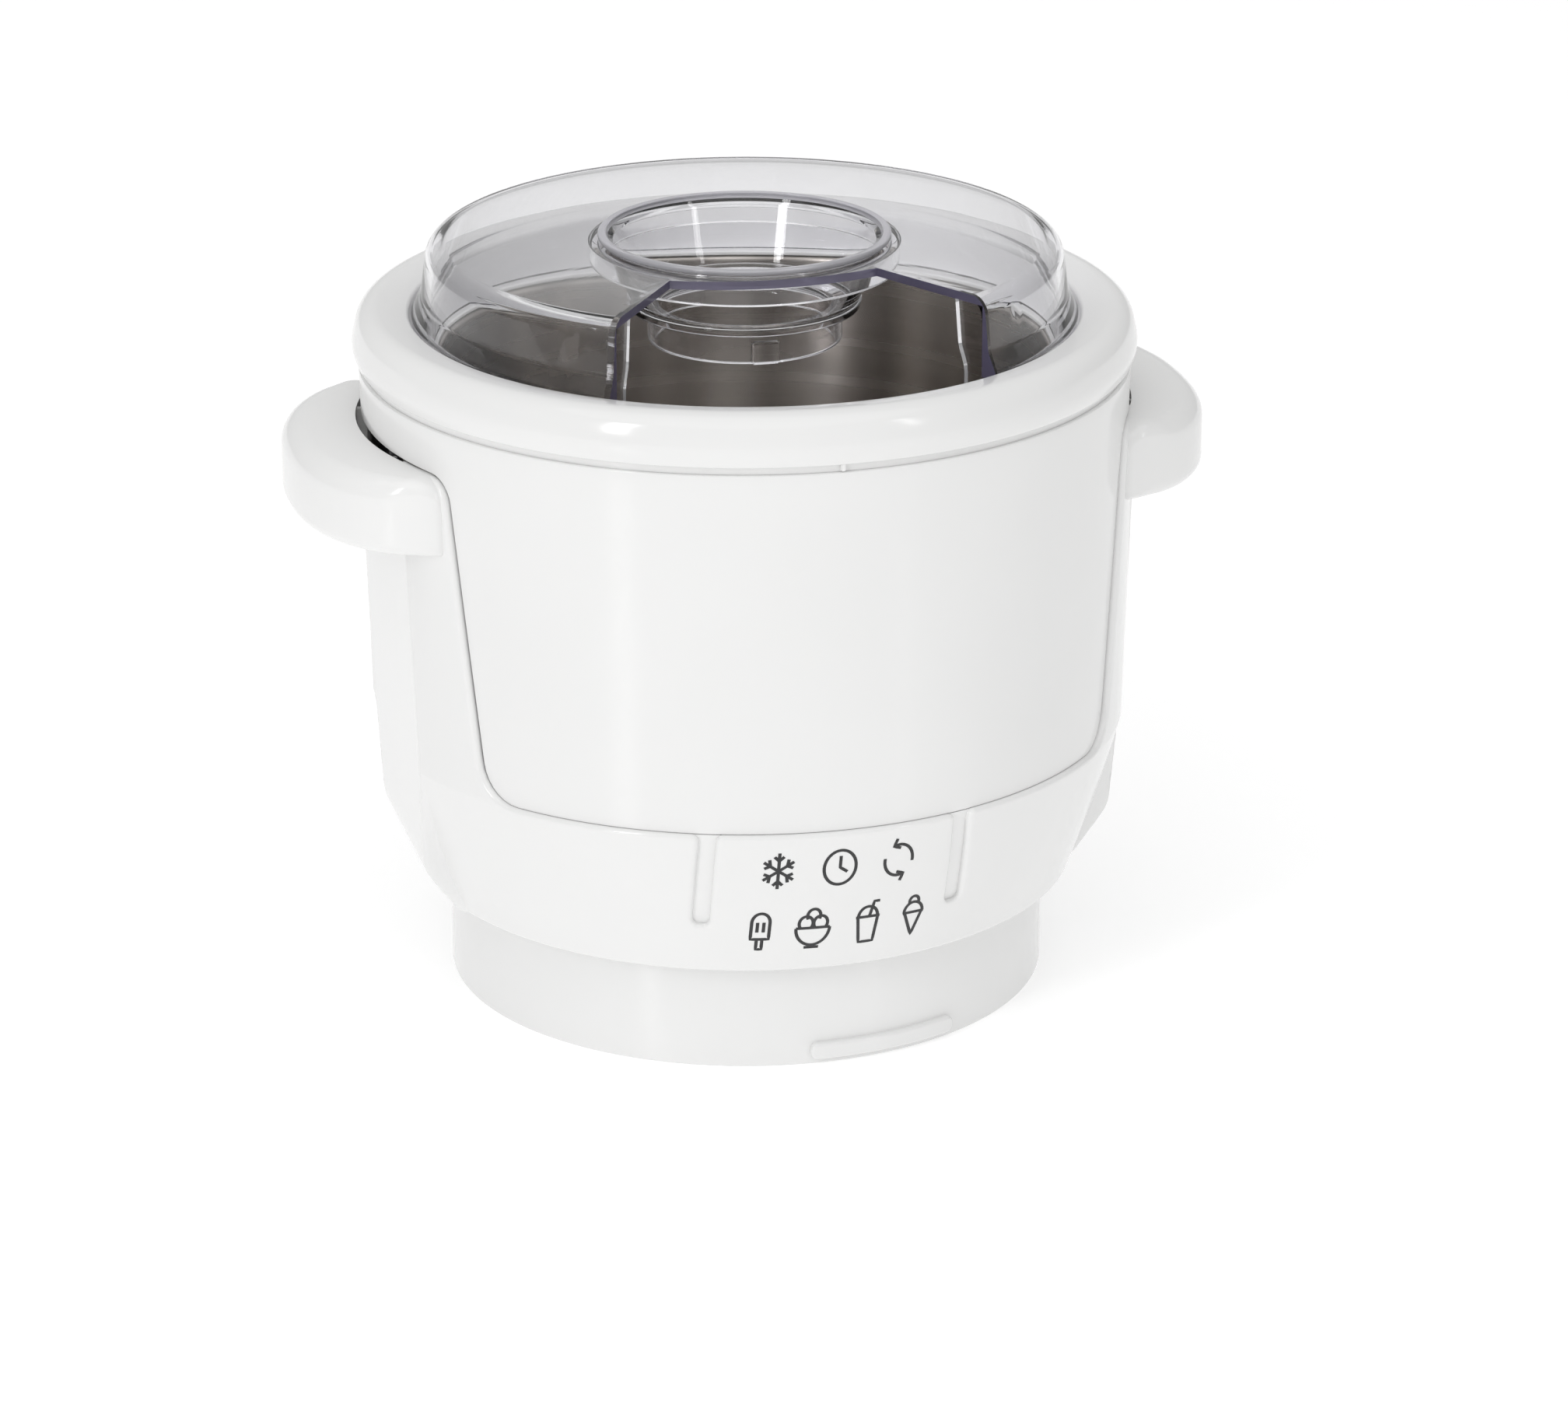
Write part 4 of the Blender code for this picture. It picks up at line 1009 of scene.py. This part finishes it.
WHITE = plastic("white_moulded", (0.83, 0.83, 0.825), (0.87, 0.87, 0.865), (0.10, 0.15))
SATIN = plastic("satin_moulded", (0.80, 0.80, 0.79), (0.84, 0.84, 0.83), (0.34, 0.44), bump=0.05)
GREY = plastic("grey_moulded", (0.30, 0.31, 0.33), (0.36, 0.37, 0.39), (0.38, 0.5), bump=0.06)
RUBBER = plastic("dark_rubber", (0.10, 0.10, 0.105), (0.16, 0.16, 0.165), (0.6, 0.75), bump=0.12)
SOFT = plastic("soft_scraper", (0.78, 0.78, 0.77), (0.82, 0.82, 0.81), (0.48, 0.6), bump=0.08)
BLUE = plastic("coolant_blue", (0.25, 0.42, 0.58), (0.33, 0.52, 0.68), (0.15, 0.25))
# Each steel's range from dark to light carries both the real brushing streaks and the painted
# reflection bands.
STEEL = brushed_steel("brushed_bowl_painted_bands", (0.28, 0.255, 0.235), (0.62, 0.58, 0.54), (0.22, 0.32))
SCREW = brushed_steel("screw_steel", (0.50, 0.50, 0.50), (0.62, 0.62, 0.62), (0.22, 0.32))
CLEAR = clear_plastic("clear_moulded")
# Painted shade: the dark violet grey of the lid's cut edges.
CLEAR_EDGE_PAINTED_SHADE = painted_clear_edge("clear_cut_edge_painted_shade", (0.10, 0.09, 0.15), (0.16, 0.145, 0.23), 0.25)
# Painted light: the light grey of the funnel's flange.
CLEAR_LIP_PAINTED_LIGHT = painted_clear_edge("clear_lip_painted_light", (0.72, 0.71, 0.76), (0.80, 0.79, 0.84), 0.5)
INK = ink("printed_ink")


def finish_piece(obj, material, body, slot, *nodes):
    """Give a piece its material and body, and hide the CAD nodes it stands for. The slot argument is
    not used.
    """
    obj.data.materials.clear()
    obj.data.materials.append(material)
    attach(obj, body)
    if nodes:
        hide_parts(*nodes)
    return obj


def recolour(node, material):
    """Give a CAD node that stays its own fine material."""
    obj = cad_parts[node]
    for slot in obj.material_slots:
        slot.material = material
    if not obj.material_slots:
        obj.data.materials.append(material)


# ---- pieces ----

finish_piece(make_holder_wall(), WHITE, "holder", "white_plastic", "outer_holder")
for piece in [make_holder_base(), make_slot_floor(-1.0), make_slot_floor(1.0),
              make_handle(-1.0), make_handle(1.0)] + make_gap_ribs():
    finish_piece(piece, WHITE, "holder", "white_plastic")
finish_piece(make_foot(), WHITE, "holder", "white_plastic", "foot_ring")
for number, start in ((1, -2.0), (2, 178.0)):
    finish_piece(make_lug(number, start), WHITE, "holder", "white_plastic")
finish_piece(make_shell(), WHITE, "container", "white_plastic", "upper_shell")
finish_piece(make_rim(), WHITE, "container", "white_plastic", "rim_ring")
finish_piece(make_rim_mark(), WHITE, "container", "white_plastic")
finish_piece(make_bowl(), STEEL, "container", "brushed_steel", "inner_bowl")
LID = finish_piece(make_lid(), CLEAR, "lid", "clear_plastic", "lid_cover")
# The lid's cut edges get the painted shade material.
LID.data.materials.append(CLEAR_EDGE_PAINTED_SHADE)
paint_shade_on_cut_edges(LID)
FUNNEL = finish_piece(make_funnel(), CLEAR, "funnel", "clear_plastic", "funnel_insert")
# The funnel's flange gets the painted light material.
FUNNEL.data.materials.append(CLEAR_LIP_PAINTED_LIGHT)
paint_light_on_lip(FUNNEL)

SYMBOLS = [("print_snowflake", snowflake(), TOP_ROW_X[0], TOP_ROW_Z),
           ("print_clock", clock(), TOP_ROW_X[1], TOP_ROW_Z),
           ("print_turning", turning_arrows(), TOP_ROW_X[2], TOP_ROW_Z),
           ("print_lolly", ice_lolly(), PRINT_X[0], PRINT_Z),
           ("print_scoops", bowl_of_scoops(), PRINT_X[1], PRINT_Z),
           ("print_shake", shake_cup(), PRINT_X[2], PRINT_Z),
           ("print_cone", cone(), PRINT_X[3], PRINT_Z)]
for name, lines, x, z in SYMBOLS:
    finish_piece(make_print(name, lines, x, z), INK, "holder", "white_plastic")

for node, material in (("foot_screw_1", SCREW), ("foot_screw_2", SCREW), ("foot_screw_3", SCREW),
                       ("seat_ring", RUBBER), ("outer_wall", STEEL), ("coolant_fill", BLUE),
                       ("base_cover", WHITE), ("rim_gasket", RUBBER), ("fill_plug", RUBBER),
                       ("centre_pin", SCREW), ("pivot_bush", GREY), ("paddle_frame", SATIN),
                       ("scraper_left", SOFT), ("scraper_right", SOFT), ("drive_socket", GREY)):
    recolour(node, material)


# ---- stage, lights and camera ----

def make_floor():
    """Wide pale floor that glows a little, so that it fades into the background."""
    bm = bmesh.new()
    bmesh.ops.create_circle(bm, cap_ends=True, segments=64, radius=FLOOR_R)
    floor = add_object("floor", bm)
    mat, tree, shader = new_material("pale_floor")
    shader.inputs["Base Color"].default_value = (0.93, 0.93, 0.93, 1.0)
    shader.inputs["Roughness"].default_value = 0.25
    shader.inputs["Emission Color"].default_value = (1.0, 1.0, 1.0, 1.0)
    shader.inputs["Emission Strength"].default_value = FLOOR_GLOW
    floor.data.materials.append(mat)


def area_light(name, place, aim, size, power):
    """Soft rectangular light; place and aim in metres, size in metres, power in watts."""
    light = bpy.data.lights.new(name, "AREA")
    light.shape = "RECTANGLE"
    light.size, light.size_y = size
    light.energy = power
    obj = bpy.data.objects.new(name, light)
    obj.location = place
    obj.rotation_euler = (Vector(aim) - Vector(place)).to_track_quat("-Z", "Y").to_euler()
    bpy.context.scene.collection.objects.link(obj)


def soft_sun(name, way, angle_deg, strength):
    """Very soft light from one direction, even over the whole floor."""
    light = bpy.data.lights.new(name, "SUN")
    light.angle = math.radians(angle_deg)
    light.energy = strength
    obj = bpy.data.objects.new(name, light)
    obj.rotation_euler = Vector(way).to_track_quat("-Z", "Y").to_euler()
    bpy.context.scene.collection.objects.link(obj)


def make_world():
    """White studio that is brighter overhead than at the horizon."""
    world = bpy.data.worlds.new("studio")
    world.use_nodes = True
    tree = world.node_tree
    background = tree.nodes["Background"]
    parts = tree.nodes.new("ShaderNodeSeparateXYZ")
    tree.links.new(tree.nodes.new("ShaderNodeTexCoord").outputs["Generated"],
                   parts.inputs["Vector"])
    climb = add_node(tree, "ShaderNodeMapRange", From_Min=0.0, From_Max=1.0,
                     To_Min=HORIZON_LIGHT, To_Max=ZENITH_LIGHT)
    tree.links.new(parts.outputs["Z"], climb.inputs["Value"])
    aside = math_node(tree, "MULTIPLY", parts.outputs["X"], parts.outputs["X"])
    kept = math_node(tree, "MULTIPLY_ADD", aside, -SIDE_SHADE, 1.0)
    strength = math_node(tree, "MULTIPLY", climb.outputs["Result"], kept)
    background.inputs["Color"].default_value = (1.0, 1.0, 1.0, 1.0)
    tree.links.new(strength, background.inputs["Strength"])
    bpy.context.scene.world = world


def make_camera():
    """Camera at the picture's angle: in front, a little to the left and above."""
    camera = bpy.data.cameras.new("camera")
    camera.sensor_fit = "HORIZONTAL"
    camera.sensor_width = 36.0
    camera.lens = CAMERA_LENS
    camera.clip_start, camera.clip_end = 0.05, 20.0
    obj = bpy.data.objects.new("camera", camera)
    obj.location = CAMERA_PLACE
    obj.rotation_euler = (CAMERA_AIM - CAMERA_PLACE).to_track_quat("-Z", "Y").to_euler()
    bpy.context.scene.collection.objects.link(obj)
    bpy.context.scene.camera = obj


make_floor()
make_world()
soft_sun("sky_panel", (0.1, 0.3, -1.0), 70.0, 0.62)
area_light("box_left", (-1.35, -1.13, 0.85), (0.0, 0.0, 0.12), (0.22, 0.9), 6.5)
area_light("box_right", (0.98, -1.46, 0.85), (0.0, 0.0, 0.12), (0.12, 0.8), 1.5)
make_camera()
scene = bpy.context.scene
scene.view_settings.view_transform = "Standard"
scene.cycles.use_denoising = True
